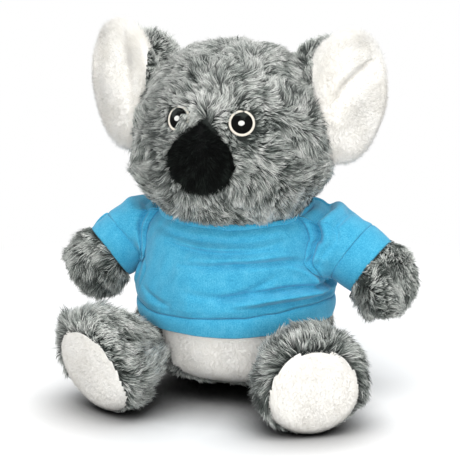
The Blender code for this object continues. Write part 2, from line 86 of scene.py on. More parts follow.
def addCamera():
    bpy.ops.object.camera_add()
    camera = bpy.context.object
    camera.data.lens = view["sensor"] * view["distance"] / (view["metresPerPixel"] * view["imagePixels"])
    camera.data.sensor_width = view["sensor"]
    camera.data.clip_end = view["farthest"]
    camera.rotation_euler = (math.radians(90) - view["elevation"], 0, view["azimuth"])
    middle = view["imagePixels"] / 2
    across = (middle - view["seatPixel"][0]) * view["metresPerPixel"]
    upward = (view["seatPixel"][1] - middle) * view["metresPerPixel"]
    camera.location = camera.rotation_euler.to_matrix() @ Vector((across, upward, view["distance"]))
    bpy.context.scene.camera = camera


studio = {
    "worldStrength": 0.62,
    "lamps": (  # place, size and power
        ((0.15, -0.55, 1.30), 1.0, 12.6),
        ((0.35, -1.30, 0.35), 1.0, 9.8),
        ((0.2, 0.8, 1.1), 0.8, 5.0),
    ),
    "aim": (0, 0, 0.06),
    "floorColour": (0.90, 0.90, 0.90, 1),
    "floorSize": 8,
    # the floor's painted shadow reaches this far from the toy
    "paintedShadow": 0.03,  # how near the toy the floor darkens
    "whiteFrom": (0.11, 0.24),  # the floor turns plain white between these reaches
}


def addStudio():
    world = bpy.data.worlds.new("studio")
    bpy.context.scene.world = world
    world.use_nodes = True
    back = world.node_tree.nodes["Background"]
    back.inputs["Color"].default_value = (1, 1, 1, 1)
    path = world.node_tree.nodes.new("ShaderNodeLightPath")
    mix = world.node_tree.nodes.new("ShaderNodeMix")
    mix.data_type = "FLOAT"
    mix.inputs[2].default_value = studio["worldStrength"]
    mix.inputs[3].default_value = 1
    world.node_tree.links.new(path.outputs["Is Camera Ray"], mix.inputs[0])
    world.node_tree.links.new(mix.outputs[0], back.inputs["Strength"])
    for place, size, power in studio["lamps"]:
        bpy.ops.object.light_add(type="AREA", location=place)
        lamp = bpy.context.object
        lamp.data.size = size
        lamp.data.energy = power
        aim = Vector(studio["aim"]) - Vector(place)
        lamp.rotation_euler = aim.to_track_quat("-Z", "Y").to_euler()
    bpy.ops.mesh.primitive_plane_add(size=studio["floorSize"])
    floor = bpy.context.object
    floor.name = "floor"
    floor.data.materials.append(makeFloorFinish().material)
    bpy.context.scene.view_settings.view_transform = "Standard"


# Shader wires that take part in sums

class Wire:
    def __init__(self, finish, socket):
        self.finish = finish
        self.socket = socket

    def other(self, output):
        return Wire(self.finish, self.socket.node.outputs[output])

    def __add__(self, other):
        return self.finish.maths("ADD", self, other)

    def __sub__(self, other):
        return self.finish.maths("SUBTRACT", self, other)

    def __rsub__(self, other):
        return self.finish.maths("SUBTRACT", other, self)

    def __mul__(self, other):
        return self.finish.maths("MULTIPLY", self, other)

    __radd__ = __add__
    __rmul__ = __mul__


class Finish:
    def __init__(self, name, fixed, slot=""):
        self.slot = slot
        self.material = bpy.data.materials.new(name)
        self.material.use_nodes = True
        self.tree = self.material.node_tree
        self.shader = self.tree.nodes["Principled BSDF"]
        for key, value in fixed.items():
            self.shader.inputs[key].default_value = value

    def node(self, kind, settings=None, values=None, output=0):
        made = self.tree.nodes.new(kind)
        for key, value in (settings or {}).items():
            if key == "stops":
                elements = made.color_ramp.elements
                elements.remove(elements[1])
                elements[0].position, elements[0].color = value[0]
                for place, colour in value[1:]:
                    elements.new(place).color = colour
            else:
                setattr(made, key, value)
        for key, value in (values or {}).items():
            if isinstance(value, Wire):
                self.tree.links.new(value.socket, made.inputs[key])
            else:
                made.inputs[key].default_value = value
        return Wire(self, made.outputs[output])

    def feed(self, socket, wire):
        self.tree.links.new(wire.socket, self.shader.inputs[socket])

    def mix(self, share, first, second, blend="MIX"):
        values = {0: share, 6: first, 7: second}
        return self.node("ShaderNodeMix", {"data_type": "RGBA", "blend_type": blend}, values, 2)

    def ramp(self, share, *stops):
        return self.node("ShaderNodeValToRGB", {"stops": stops}, {0: share})

    def maths(self, operation, *values):
        return self.node("ShaderNodeMath", {"operation": operation}, dict(enumerate(values)))

    def place(self):  # the spot on the piece, in metres
        return self.node("ShaderNodeTexCoord", output=3)

    def noise(self, scale, detail):
        return self.node("ShaderNodeTexNoise", None, {"Vector": self.place(), "Scale": scale, "Detail": detail})

    def bump(self, height, strength, distance):
        values = {"Height": height, "Strength": strength, "Distance": distance}
        self.feed("Normal", self.node("ShaderNodeBump", None, values))


def dress(obj, *finishes):
    for finish in finishes:
        obj.data.materials.append(finish.material)


def dressSkin(skin, isWhite):
    # Grey backing, and white backing where isWhite says so
    dress(skin, skinFinish, whiteSkinFinish)
    centres = np.array([face.center for face in skin.data.polygons])
    for face, white in zip(skin.data.polygons, isWhite(centres)):
        face.material_index = int(white)


def makeFloorFinish():
    # A painted contact shadow, dark where the toy stands on it, and plain white far from it
    finish = Finish("floor", {"Roughness": 1, "Specular IOR Level": 0, "Emission Strength": 1})
    reach = finish.node("ShaderNodeVectorMath", {"operation": "LENGTH"}, {0: finish.place()}, 1)
    near, far = studio["whiteFrom"]
    away = finish.node("ShaderNodeMapRange", None, {"Value": reach, "From Min": near, "From Max": far})
    shown = away * finish.node("ShaderNodeLightPath")
    # ambient occlusion darkens the floor's colour near the toy: a painted shadow
    paintedShadow = finish.node("ShaderNodeAmbientOcclusion", {"samples": 8}, {"Distance": studio["paintedShadow"]}, 1)
    dark, light = (0, 0, 0, 1), (1, 1, 1, 1)
    ground = finish.ramp(paintedShadow, (0.18, dark), (0.95, studio["floorColour"]))
    finish.feed("Base Color", finish.mix(shown, ground, dark))
    finish.feed("Emission Color", finish.mix(shown, dark, light))
    return finish


# Forms

def limit(values):
    return np.clip(values, 0, 1)


def bell(values, width):
    return np.exp(-((values / width) ** 2))


def hermite(first, leave, second, arrive, part):
    square, cube = part**2, part**3
    return (
        first * (2 * cube - 3 * square + 1) + leave * (cube - 2 * square + part)
        + second * (3 * square - 2 * cube) + arrive * (cube - square)
    )


def between(stops, low, part):
    # A smooth curve through the stops, between the first and second stop after each low one
    before, first, second, after = (stops[low + step] for step in range(4))
    return hermite(first, (second - before) / 2, second, (after - first) / 2, part[:, None])


def along(rows, share):
    # A smooth curve through the rows. The first column turns back at the ends and the others pass through zero.
    rows = np.array(rows, float)
    flip = np.array([1] + [-1] * (rows.shape[1] - 1))
    rows = np.vstack([rows[1] * flip, rows, rows[-2] * flip])
    spot = limit(share) * (len(rows) - 3)
    low = np.minimum(spot.astype(int), len(rows) - 4)
    return between(rows, low, spot - low)


def valuesOf(items, key, width=3, kind=np.float32):
    values = np.empty(len(items) * width, kind)
    items.foreach_get(key, values)
    return values.reshape(-1, width)


def meshPoints(mesh):
    return valuesOf(mesh.vertices, "co").astype(float)


def setPoints(mesh, points):
    mesh.vertices.foreach_set("co", np.asarray(points, np.float32).ravel())
    mesh.update()


def addMesh(name, mesh):
    mesh.shade_smooth()
    obj = bpy.data.objects.new(name, mesh)
    bpy.context.scene.collection.objects.link(obj)
    return obj


def ballForm(name, rows, around, levels):
    # A ball drawn out along its own Z: each row, from the top down, is a distance along it, half width at the
    # front, at the back and across. The rows are at even steps of the ball's polar angle.
    bpy.ops.mesh.primitive_uv_sphere_add(segments=around, ring_count=levels, radius=1)
    obj = bpy.context.object
    obj.name = name
    ball = meshPoints(obj.data)
    polar = np.arccos(np.clip(ball[:, 2], -1, 1)) / math.pi
    ring = np.hypot(ball[:, 0], ball[:, 1])
    turn = ball[:, :2] / np.maximum(ring, 1e-9)[:, None]
    rise, front, back, across = along(sorted(rows, reverse=True), polar).T
    depth = np.where(turn[:, 1] < 0, front, back)
    points = np.stack([turn[:, 0] * across, turn[:, 1] * depth, rise], 1)
    setPoints(obj.data, points * mm)
    bpy.ops.object.shade_smooth()
    return obj


def rounded(obj, voxel, smooth):
    remesh = obj.modifiers.new("Remesh", "REMESH")
    remesh.mode = "VOXEL"
    remesh.voxel_size = voxel
    obj.modifiers.new("Smooth", "SMOOTH").iterations = smooth
    applyModifiers(obj)


def axesOf(place):  # a frame's own axes as columns, and its origin
    return np.array(place.to_3x3()), np.array(place.translation)


def framed(columns, origin, side):
    # A frame from its three axes and its origin in millimetres, given for the left side
    matrix = Matrix(columns).transposed().to_4x4()
    matrix.translation = Vector((side * origin[0], origin[1], origin[2])) * mm
    return matrix


def nearness(points, centre, radius):  # 1 at a centre, falling away round it, both in millimetres
    return bell(np.linalg.norm(points - np.array(centre) * mm, axis=1), radius * mm)


def bump(points, centre, radius, height, direction):
    # Moves the points near a centre along a direction, most at the centre
    return points + nearness(points, centre, radius)[:, None] * np.array(direction) * height * mm


def wave(points, size, seed, count=7):
    # A smooth random field from about -1 to 1, whose hills are about size metres apart
    rng = np.random.default_rng(seed)
    total = np.zeros(len(points))
    for _ in range(count):
        way = rng.normal(size=3)
        way *= math.tau / size / np.linalg.norm(way) * rng.uniform(0.6, 1.4)
        total += np.sin(points @ way + rng.uniform(0, math.tau))
    return total / math.sqrt(count / 2)


def unit(vectors):
    return vectors / np.maximum(np.linalg.norm(vectors, axis=1), 1e-12)[:, None]


def turned(first, second, angle):  # from the first direction towards the second
    return first * np.cos(angle)[:, None] + second * np.sin(angle)[:, None]


# Pile: every hair is a thin three-sided spike, straight or with one bend

def skinSamples(skin, perSquareMm, mask, rng):
    mesh = skin.data
    mesh.calc_loop_triangles()
    points = meshPoints(mesh)
    normals = np.round(valuesOf(mesh.vertices, "normal"), 5)
    triangles = valuesOf(mesh.loop_triangles, "vertices", kind=np.int32)
    # a ball's points and faces come in a new order each run, so they are first put in order by place
    rank = np.argsort(np.lexsort(points.T))
    triangles = np.take_along_axis(triangles, np.argsort(rank[triangles], 1), 1)
    triangles = triangles[np.lexsort(rank[triangles].T)]
    corners = points[triangles]
    area = np.linalg.norm(np.cross(corners[:, 1] - corners[:, 0], corners[:, 2] - corners[:, 0]), axis=1) / 2
    weight = area * mask(corners.mean(1))
    count = int(weight.sum() / mm**2 * perSquareMm)
    pick = rng.choice(len(triangles), count, p=weight / weight.sum())
    first, second = rng.random((2, count))
    over = first + second > 1
    first[over], second[over] = 1 - first[over], 1 - second[over]
    shares = np.stack([1 - first - second, first, second], 1)[:, :, None]
    root = (corners[pick] * shares).sum(1)
    return root, unit((normals[triangles[pick]] * shares).sum(1))


def clumpOf(root, share, rng):
    # Each hair's clump: the nearest of some hairs picked as middles
    middles = rng.choice(len(root), max(2, int(len(root) * share)), replace=False)
    tree = KDTree(len(middles))
    for index, place in enumerate(root[middles]):
        tree.insert(place, index)
    tree.balance()
    return middles, np.array([tree.find(place)[1] for place in root])


def hairMesh(name, line, radius, tone, bent):
    # line holds each hair's root, middle and tip. The map's width is the hair's tone and its height runs
    # from root to tip, so a hair's colour depends on its map alone.
    count = len(line)
    way = unit(line[:, 2] - line[:, 0])
    aside = unit(np.cross(way, np.array([0.31, 0.87, 0.38])))  # any way that few hairs share
    other = np.cross(way, aside)
    rings = ((0, 0.75), (1, 1.0)) if bent else ((0, 0.75),)  # point of the line, and share of the radius
    corners = len(rings) * 3 + 1
    spikes = np.empty((count, corners, 3))
    for ring, share in rings:
        for corner in range(3):
            turn = math.tau * corner / 3
            offset = aside * math.cos(turn) + other * math.sin(turn)
            spikes[:, ring * 3 + corner] = line[:, ring] + offset * (radius * share)[:, None]
    spikes[:, -1] = line[:, 2]
    levels = (0, 0, 0, 0.5, 0.5, 0.5, 1) if bent else (0, 0, 0, 1)
    top = corners - 4
    pattern = []
    for corner in range(3):
        after = (corner + 1) % 3
        if bent:
            pattern += [(corner, after, 3 + after), (corner, 3 + after, 3 + corner)]
        pattern.append((top + corner, top + after, top + 3))
    pattern = np.array(pattern)
    faces = (np.arange(count)[:, None, None] * corners + pattern[None]).reshape(-1, 3)
    mesh = bpy.data.meshes.new(name)
    mesh.from_pydata(spikes.reshape(-1, 3), [], faces)
    layer = mesh.uv_layers.new(name="OFBake")
    width = 0.012  # of a hair's own strip of the map
    uv = np.empty((count, len(pattern), 3, 2))
    uv[..., 0] = tone[:, None, None] * (1 - width) + np.array([0, 1, 0.5])[None, None] * width
    uv[..., 1] = np.array(levels)[pattern][None]
    layer.uv.foreach_set("vector", uv.astype(np.float32).ravel())
    return addMesh(name, mesh)


# lengths in metres, angles in radians: lie is a hair's angle from upright, swirl and stray turn its comb
longPile = {
    "perSquareMm": 6.2, "length": 0.0050, "radius": 0.00016, "bent": 0.5, "lie": 1.0, "lieStray": 0.2,
    "swirl": 0.6, "swirlSize": 0.024, "stray": 0.28, "patchSize": 0.009, "uneven": 0.22, "gather": 0.55,
    "clumpShare": 0.07, "clumpStray": 0.0006, "toneSpread": 0.22, "clumpTone": 0.12,
}
shortPile = {
    "perSquareMm": 13, "length": 0.0013, "radius": 0.00013, "bent": 0, "lie": 0.95, "lieStray": 0.15,
    "swirl": 0.3, "swirlSize": 0.02, "stray": 0.9, "patchSize": 0.012, "uneven": 0.06, "gather": 0,
    "clumpShare": 0.05, "clumpStray": 0, "toneSpread": 0.2, "clumpTone": 0.05,
}
steepest, flattest = 0.1, 1.5  # angles of a hair from upright
aboveFloor, underSkin = 0.0002, 0.0004
mostHairs = ((True, 21500), (False, 64000))  # in one piece, bent and straight


def growPile(name, skin, body, pile, finish, comb, mask, length=None, tone=None, lift=None, seed=1):
    rng = np.random.default_rng(seed)
    root, normal = skinSamples(skin, pile["perSquareMm"], mask, rng)
    count = len(root)
    flow = comb(root)
    swirl = wave(root, pile["swirlSize"], seed + 10) * pile["swirl"]
    flow = unit(flow - normal * (flow * normal).sum(1)[:, None])
    flow = turned(flow, np.cross(normal, flow), swirl + rng.normal(0, pile["stray"], count))
    patch = wave(root, pile["patchSize"], seed + 20)
    reach = pile["length"] * (1 + pile["uneven"] * patch) * rng.uniform(0.7, 1.15, count)
    if length:
        reach = reach * length(root)
    lie = pile["lie"] + rng.normal(0, pile["lieStray"], count) - (lift(root) if lift else 0)
    lie = np.clip(lie, steepest, flattest)
    half = (reach * 0.5)[:, None]
    middle = root + turned(normal, flow, lie * 0.75) * half
    tip = middle + turned(normal, flow, np.minimum(lie * 1.3, flattest)) * half
    middles, clump = clumpOf(root, pile["clumpShare"], rng)
    lean = rng.normal(0, pile["clumpStray"], (len(middles), 3))[clump]
    gather = pile["gather"] * rng.uniform(0.5, 1.0, count)[:, None]
    tip += (tip[middles][clump] + lean - tip) * gather
    middle += (middle[middles][clump] + lean * 0.4 - middle) * gather * 0.4
    for part in (tip, middle):
        part[:, 2] = np.maximum(part[:, 2], aboveFloor)
    radius = pile["radius"] * rng.uniform(0.75, 1.25, count)
    shade = 0.5 + 0.16 * wave(root, pile["patchSize"], seed + 30)
    shade = shade + 0.1 * wave(root, pile["patchSize"] * 0.35, seed + 40)
    shade += rng.normal(0, pile["toneSpread"], count)
    shade += rng.normal(0, pile["clumpTone"], len(middles))[clump]
    if tone:
        shade = shade + tone(root)
    shade = limit(shade)
    line = np.stack([root - normal * underSkin, middle, tip], 1)
    curved = rng.random(count) < pile["bent"]
    groups = []
    for bent, most in mostHairs:
        members = np.flatnonzero(curved == bent)
        rank = members[np.argsort(np.arctan2(root[members, 1], root[members, 0]), kind="stable")]
        groups += [(bent, chosen) for chosen in np.array_split(rank, math.ceil(len(rank) / most) or 1) if len(chosen)]
    for index, (bent, chosen) in enumerate(groups):
        label = name if len(groups) == 1 else name + "_" + str(index + 1)
        obj = hairMesh(label, line[chosen], radius[chosen], shade[chosen], bent)
        dress(obj, finish)
        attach(obj, body)
    print("pile", name, count, "hairs")


# Plush finishes

greyFur = {
    # dark roots: partly the frosted pile's own dark base, partly painted shade between the tufts, as the dark reaches
    # far up each hair
    "rootColour": srgb(34, 42, 38),
    "tones": (
        (0.0, srgb(48, 57, 52)),
        (0.2, srgb(108, 117, 111)),
        (0.42, srgb(186, 193, 187)),
        (0.7, srgb(232, 236, 230)),
        (1.0, srgb(252, 253, 249)),
    ),
    "rise": ((0.08, 0.0), (0.45, 0.45), (0.82, 1.0)),  # how far up the hair its own tone shows
}


def makeFurFinish(name, colours, slot):
    sheen, gloss = colours.get("sheen", (0.25, 0.25))
    finish = Finish(name, {"Roughness": 0.75, "Sheen Weight": sheen, "Specular IOR Level": gloss}, slot)
    place = finish.node("ShaderNodeUVMap", {"uv_map": "OFBake"})
    split = finish.node("ShaderNodeSeparateXYZ", None, {0: place})
    tone = finish.ramp(split, *colours["tones"])
    rise = finish.ramp(split.other(1), *[(stop, (value, value, value, 1)) for stop, value in colours["rise"]])
    finish.feed("Base Color", finish.mix(rise, colours["rootColour"], tone))
    return finish


# the knitted backing, which shows only as a dark ground between hairs, and embroidery thread
backing = {"rough": 0.95, "gloss": 0.1, "scale": 900, "detail": 3, "dark": 0.9}
thread = {"rough": 0.5, "gloss": 0.15, "scale": 6000, "detail": 2, "dark": 0.78, "relief": (0.3, 0.00005)}


def makeGrainFinish(name, colour, slot, kind):
    finish = Finish(name, {"Roughness": kind["rough"], "Specular IOR Level": kind["gloss"]}, slot)
    grain = finish.noise(kind["scale"], kind["detail"])
    dark = tuple(kind["dark"] * channel for channel in colour[:3]) + (1,)
    finish.feed("Base Color", finish.mix(grain, dark, colour))
    if "relief" in kind:
        finish.bump(grain, *kind["relief"])
    return finish


# Head

head = {
    # height, half width at the front, at the back and across, in millimetres, from the crown down
    "rows": (
        (137.6, 0, 0, 0), (136.2, 11.5, 11.5, 13), (131.8, 20.3, 20.0, 21.8), (125.2, 26.4, 26.0, 28.2),
        (117.5, 30.2, 29.8, 33.0), (108.5, 32.0, 31.6, 36.3), (99.0, 32.4, 32.2, 37.7), (90.0, 31.8, 30.8, 37.0),
        (81.5, 28.4, 26.6, 30.6), (75.2, 23.6, 19.0, 23.0), (71.0, 0, 0, 0),
    ),
    "forward": 4,
    # bumps for the muzzle, cheeks and eyes: centre, radius and height in millimetres, and direction
    "muzzle": ((0, -36, 99), 15, 2.2, (0, -1, 0)),
    "cheek": ((24, -24, 88), 13, 1.8, (0.7, -0.7, -0.2)),
    "brow": ((12.6, -33.5, 115.6), 6.5, 2.2, (0.3, -0.95, 0.1)),
    "pile": {
        **longPile, "radius": 0.00015, "lie": 1.16, "lieStray": 0.16, "bent": 0.44, "swirl": 0.75,
        "swirlSize": 0.022, "stray": 0.22, "clumpShare": 0.06, "clumpStray": 0.0008, "gather": 0.6,
        "toneSpread": 0.2, "clumpTone": 0.17,
    },
    "neck": 0.0715,  # no pile grows below this height
    "eyeRoom": 0.0052,  # nor this near to an eye's middle, apart from the fringe
    "shortAt": (0.0025, 0.008, 0.45),  # the pile grows from short to long over this reach from an eye
    "whorl": (0, -39, 110),  # the pile runs outwards from the bridge of the nose
    "chin": (88, 10),  # where the comb turns back under the chin, and over what height
    # the fur of the nose's bridge falls over the near edge of the toy's right eye
    "fringe": {
        "middle": (-7.2, -36.5, 114.8), "radius": 4.8, "comb": (-2.2, 0, -2.6), "longer": 0.75, "lift": 0.5,
        "from": 0.3, "edge": (-0.0089, 0.8, 0.1155),  # the fringe's edge slants over the eye
        "pile": {"perSquareMm": 16, "length": 0.0034, "lie": 1.1, "swirl": 0.4, "stray": 0.2,
                 "clumpStray": 0.0006, "gather": 0.5},
    },
    # painted light from above: lighter on the forehead and darker towards the chin: heights and tones
    "paintedTopLight": ((0.074, 0.092, 0.112, 0.126), (-0.08, 0.04, 0.08, 0.2)),
    # partly painted shade in the hollows beside and above each eye and where the cheek meets the nose, partly darker
    # patches of the fur: place, width and depth
    "paintedShadeAndPatches": (
        ((19, -30, 109), 6.0, 0.42), ((-18, -30, 108), 6.0, 0.42), ((-12, -33, 121), 3.5, 0.22),
        ((13, -33, 121), 3.5, 0.2), ((24, -25, 100), 4.5, 0.3), ((18, -33, 90), 5.0, 0.22),
        ((-18, -33, 90), 5.0, 0.25), ((27, -14, 121), 7.0, 0.25), ((-30, -10, 122), 6.0, 0.2),
        ((6, -22, 132), 5.0, 0.2), ((34, -8, 103), 6.0, 0.2), ((15, -29, 126), 5.0, 0.18),
    ),
}


def fringe(points):
    return nearness(points, head["fringe"]["middle"], head["fringe"]["radius"])


def headComb(points):
    start, height = head["chin"]
    under = limit((start * mm - points[:, 2]) / (height * mm))[:, None]
    way = unit(points - np.array(head["whorl"]) * mm) * (1 - 0.3 * under)
    way = way + np.array([0, 0.35, -0.25]) * (1 - under) + under * np.array([0, 0.4, 0])
    return way + fringe(points)[:, None] * np.array(head["fringe"]["comb"])


def noseShare(points):
    # Below 1 inside the outline of the nose, seen from the front
    x, y, z = points.T
    low, high, wide = (nose["outline"][key] * mm for key in ("low", "high", "wide"))
    width = np.interp(limit((z - low) / (high - low)), *nose["outline"]["shares"])
    outside = np.maximum(np.maximum(low - z, z - high), 0) / wide
    return np.abs(x + nose["outline"]["shift"] * mm) / (wide * width) + outside * 4 + (y > -0.02) * 9


def makeHead():
    skin = ballForm("head_skin", head["rows"], 64, 44)
    skin.data.transform(Matrix.Translation((0, -head["forward"] * mm, 0)))
    points = bump(meshPoints(skin.data), *head["muzzle"])
    for side in (1, -1):
        mirror = np.array([side, 1, 1])
        for key in ("cheek", "brow"):
            middle, radius, height, way = head[key]
            points = bump(points, middle * mirror, radius, height, way * mirror)
    setPoints(skin.data, points)
    dress(skin, skinFinish)
    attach(skin, "head")
    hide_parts("head_cover", "head_filling")

    def nearEye(points):
        return np.min([np.linalg.norm(points - np.array(middle), axis=1) for middle in eyeMiddles], axis=0)

    def bridge(points):
        start, slant, level = head["fringe"]["edge"]
        edge = start + slant * (points[:, 2] - level)
        return (fringe(points) > head["fringe"]["from"]) & (points[:, 0] > edge) & (noseShare(points) > 0.8)

    def mask(points):
        aroundEye = (nearEye(points) > head["eyeRoom"]) | bridge(points)
        return aroundEye * (points[:, 2] > head["neck"]) * (noseShare(points) > 0.7)

    def length(points):
        start, span, least = head["shortAt"]
        return np.clip((nearEye(points) - start) / span, least, 1) + head["fringe"]["longer"] * fringe(points)

    # the head pile's tone: painted light from above, and painted shade in the hollows together with darker patches of
    # the fur
    def tone(points):
        total = np.interp(points[:, 2], *head["paintedTopLight"])
        for place, wide, depth in head["paintedShadeAndPatches"]:
            total -= depth * nearness(points, place, wide)
        return total

    def lift(points):
        return head["fringe"]["lift"] * fringe(points)

    growPile("head_pile", skin, "head", head["pile"], greyFinish, headComb, mask, length, tone, lift, 11)
    bridgePile = {**head["pile"], **head["fringe"]["pile"]}
    growPile("bridge_pile", skin, "head", bridgePile, greyFinish, headComb, bridge, None, tone, lift, 12)


# Nose

nose = {
    # seen from the front, in millimetres: where no other pile grows, with the outline's width at shares of its height
    "outline": {
        "low": 88.6, "high": 114.0, "wide": 14.0, "shift": 1.6,
        "shares": ((0, 0.09, 0.2, 0.33, 0.46, 0.59, 0.72, 0.85, 0.93, 1),
                   (0.2, 0.6, 0.82, 0.97, 1, 0.95, 0.83, 0.57, 0.34, 0.08)),
    },
    "shift": (-1.6, 0, 0),  # from the solid's place, in millimetres
    "heights": (88.7, 113.8),
    # share of the height, and how much wider it is there than the solid
    "widths": ((0, 1.05), (0.2, 0.98), (0.45, 1.08), (0.6, 1.18), (0.72, 1.32), (0.85, 1.24), (0.93, 1.06), (1, 1.0)),
    "voxel": 0.0009,
    "pileRoom": 0.0010,
    "swell": {
        "height": 0.099, "halfHeight": 0.011, "halfWidth": 0.012, "base": 0.0012, "rise": 0.0028, "front": -0.038,
    },
    "whorl": (-0.0018, -0.044, 0.112),
    "pileFront": -0.0325,  # its pile grows in front of this
    "pile": {
        **longPile, "perSquareMm": 10, "length": 0.0030, "radius": 0.00015, "lie": 0.75, "lieStray": 0.18, "bent": 0,
        "swirl": 0.3, "swirlSize": 0.012, "stray": 0.3, "patchSize": 0.006, "clumpStray": 0.0004, "gather": 0.5,
        "toneSpread": 0.24, "clumpTone": 0.14,
    },
    "black": {
        "sheen": (0.0, 0.12),
        "rootColour": srgb(2, 3, 3),
        # the lightest tone, on few hairs, is partly painted sheen of the glossy pile, partly its own dark green-black
        "tones": ((0.0, srgb(5, 7, 6)), (0.6, srgb(12, 16, 14)), (1.0, srgb(46, 54, 49))),
        "rise": ((0.0, 0.0), (0.8, 1.0)),
    },
}


def softCopy(label, node, voxel, shrink, smooth):
    # A rounded copy of a CAD node, drawn in by the pile's height
    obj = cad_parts[node].copy()
    obj.data = obj.data.copy()
    obj.parent = None
    obj.name = label
    bpy.context.scene.collection.objects.link(obj)
    for key in list(obj.keys()):
        del obj[key]
    obj.data.materials.clear()
    rounded(obj, voxel, smooth)
    setPoints(obj.data, meshPoints(obj.data) - valuesOf(obj.data.vertices, "normal") * shrink)
    obj.data.shade_smooth()
    return obj


def makeNose():
    skin = softCopy("nose_skin", "nose", nose["voxel"], nose["pileRoom"], 5)
    points = meshPoints(skin.data)
    x, y, z = points.T
    swell = nose["swell"]
    share = np.exp(-(((z - swell["height"]) / swell["halfHeight"]) ** 2) - (x / swell["halfWidth"]) ** 2)
    y -= swell["base"] + swell["rise"] * share * (y < swell["front"])
    share = (z - z.min()) / (z.max() - z.min())
    bottom, top = nose["heights"]
    z[:] = (bottom + (top - bottom) * share) * mm
    x *= np.interp(share, *np.array(nose["widths"]).T)
    points += np.array(nose["shift"]) * mm
    setPoints(skin.data, points)
    dress(skin, noseFinish)
    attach(skin, "head")
    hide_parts("nose")

    def comb(points):
        return unit(points - np.array(nose["whorl"])) + np.array([0, 0.1, -0.8])

    def front(points):
        return points[:, 1] < nose["pileFront"]

    growPile("nose_pile", skin, "head", nose["pile"], noseFinish, comb, front, seed=21)


# Body

body = {
    "rows": (
        (74.0, 0, 0, 0), (71.0, 14, 14, 17), (65.0, 22, 22, 27), (55.0, 27.4, 27.4, 32.2),
        (43.5, 29.6, 29.6, 35.2), (31.0, 30.2, 30.2, 36.0), (20.0, 29.4, 29.8, 35.6), (12.5, 26.4, 28.8, 34.0),
        (8.0, 17.0, 26.0, 29.0), (4.2, 5.0, 19.0, 19.0), (1.6, 0, 0, 0),
    ),
    "thigh": ((34, -15, 25), 8, 4.5, (0.8, -0.5, 0.2)),  # the swell at each leg
    "pile": {**longPile, "perSquareMm": 5.2, "length": 0.0052, "radius": 0.00017, "bent": 0.4},
    "panel": (24.5, 34.6, 27.4),  # the belly panel's half width, middle height and half height
    "pileFrom": 0.0012,  # the pile grows from here up to under the shirt
    "pileTo": 0.034,
    "seat": (0.0055, 0.02),  # height and radius under the toy without pile
}
whiteFur = {
    "sheen": (0.1, 0.15),
    "rootColour": srgb(243, 241, 235),
    "tones": ((0.0, srgb(243, 240, 233)), (0.5, srgb(249, 247, 242)), (1.0, srgb(253, 252, 249))),
    "rise": ((0.0, 0.0), (0.5, 1.0)),
}


def onPanel(points):
    x, y, z = points.T
    halfWidth, middle, halfHeight = (size * mm for size in body["panel"])
    return ((x / halfWidth) ** 2 + ((z - middle) / halfHeight) ** 2 < 1) & (y < 0)


def makeBody():
    skin = ballForm("body_skin", body["rows"], 56, 40)
    points = meshPoints(skin.data)
    for _, side in sides:
        middle, radius, height, way = body["thigh"]
        mirror = np.array([side, 1, 1])
        points = bump(points, middle * mirror, radius, height, way * mirror)
    setPoints(skin.data, points)
    dressSkin(skin, onPanel)
    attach(skin, "torso")
    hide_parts("body_cover", "body_filling", "belly_panel")

    def comb(points):
        x, y, z = points.T
        under = limit((20 * mm - z) / (10 * mm))  # the pile runs back under the belly
        outward = 6 * (1 - under)
        return np.stack([x * outward, y * outward + 2 * under, under - 1.0], 1)

    def length(points):
        return 1 - 0.45 * limit((18 * mm - points[:, 2]) / (10 * mm)) * (points[:, 1] < 0)

    def lower(points):
        x, y, z = points.T
        height, radius = body["seat"]
        return (z < body["pileTo"]) & (z > body["pileFrom"]) & ~((z < height) & (np.hypot(x, y) < radius))

    def grey(points):
        return lower(points) & ~onPanel(points)

    def white(points):
        return lower(points) & onPanel(points)

    growPile("body_pile", skin, "torso", body["pile"], greyFinish, comb, grey, length, seed=31)
    growPile("belly_pile", skin, "torso", shortPile, whiteFinish, comb, white, seed=32)


# Legs

leg = {
    # where the leg starts, its splay, and how far the sole's top leans forward
    "left": {"hip": (34.3, -30.2), "splay": math.radians(29), "lean": 0.03, "sole": 17.0},
    "right": {"hip": (31.6, -31.0), "splay": math.radians(30), "lean": 0.24, "sole": 17.1},
    # distance along the leg, half height below, half height above, half width across
    "rows": (
        (-9.0, 0, 0, 0), (-8.0, 5, 5, 5), (-4.5, 9.5, 9.5, 9.5), (2.0, 13.0, 13.5, 13.5), (8.0, 17.4, 17.6, 17.2),
        (13.5, 19.2, 19.6, 19.2), (18.0, 19.4, 19.8, 19.4), (21.2, 18.0, 17.8, 17.8), (23.0, 15.2, 15.0, 15.2),
        (23.9, 8.6, 8.6, 8.6), (24.2, 0, 0, 0),
    ),
    "middle": 20.2,
    "reach": 0.0235,  # from the leg's origin to the middle of the sole
    "soleHeight": 16.4,
    "soleStretch": (1, 1, 0.945),
    "soleDepth": 0.0055,
    "floor": 0.0008,  # the skin's lowest point, and where the pile starts
    "pileFrom": 0.0014,
    "inside": (0.036, 0.0295),  # half width and half depth of the body, in which no pile grows
    "pressed": ((0.002, 0.009), (0.4, 1)),  # heights and the pile's length there, shortened by the floor
    "pile": {**longPile, "length": 0.0053, "lie": 0.95, "swirl": 0.7, "stray": 0.3, "clumpStray": 0.0007},
    "solePile": {
        **shortPile, "perSquareMm": 15, "length": 0.0010, "radius": 0.00012, "lieStray": 0.12, "uneven": 0.05,
        "clumpTone": 0.04,
    },
}


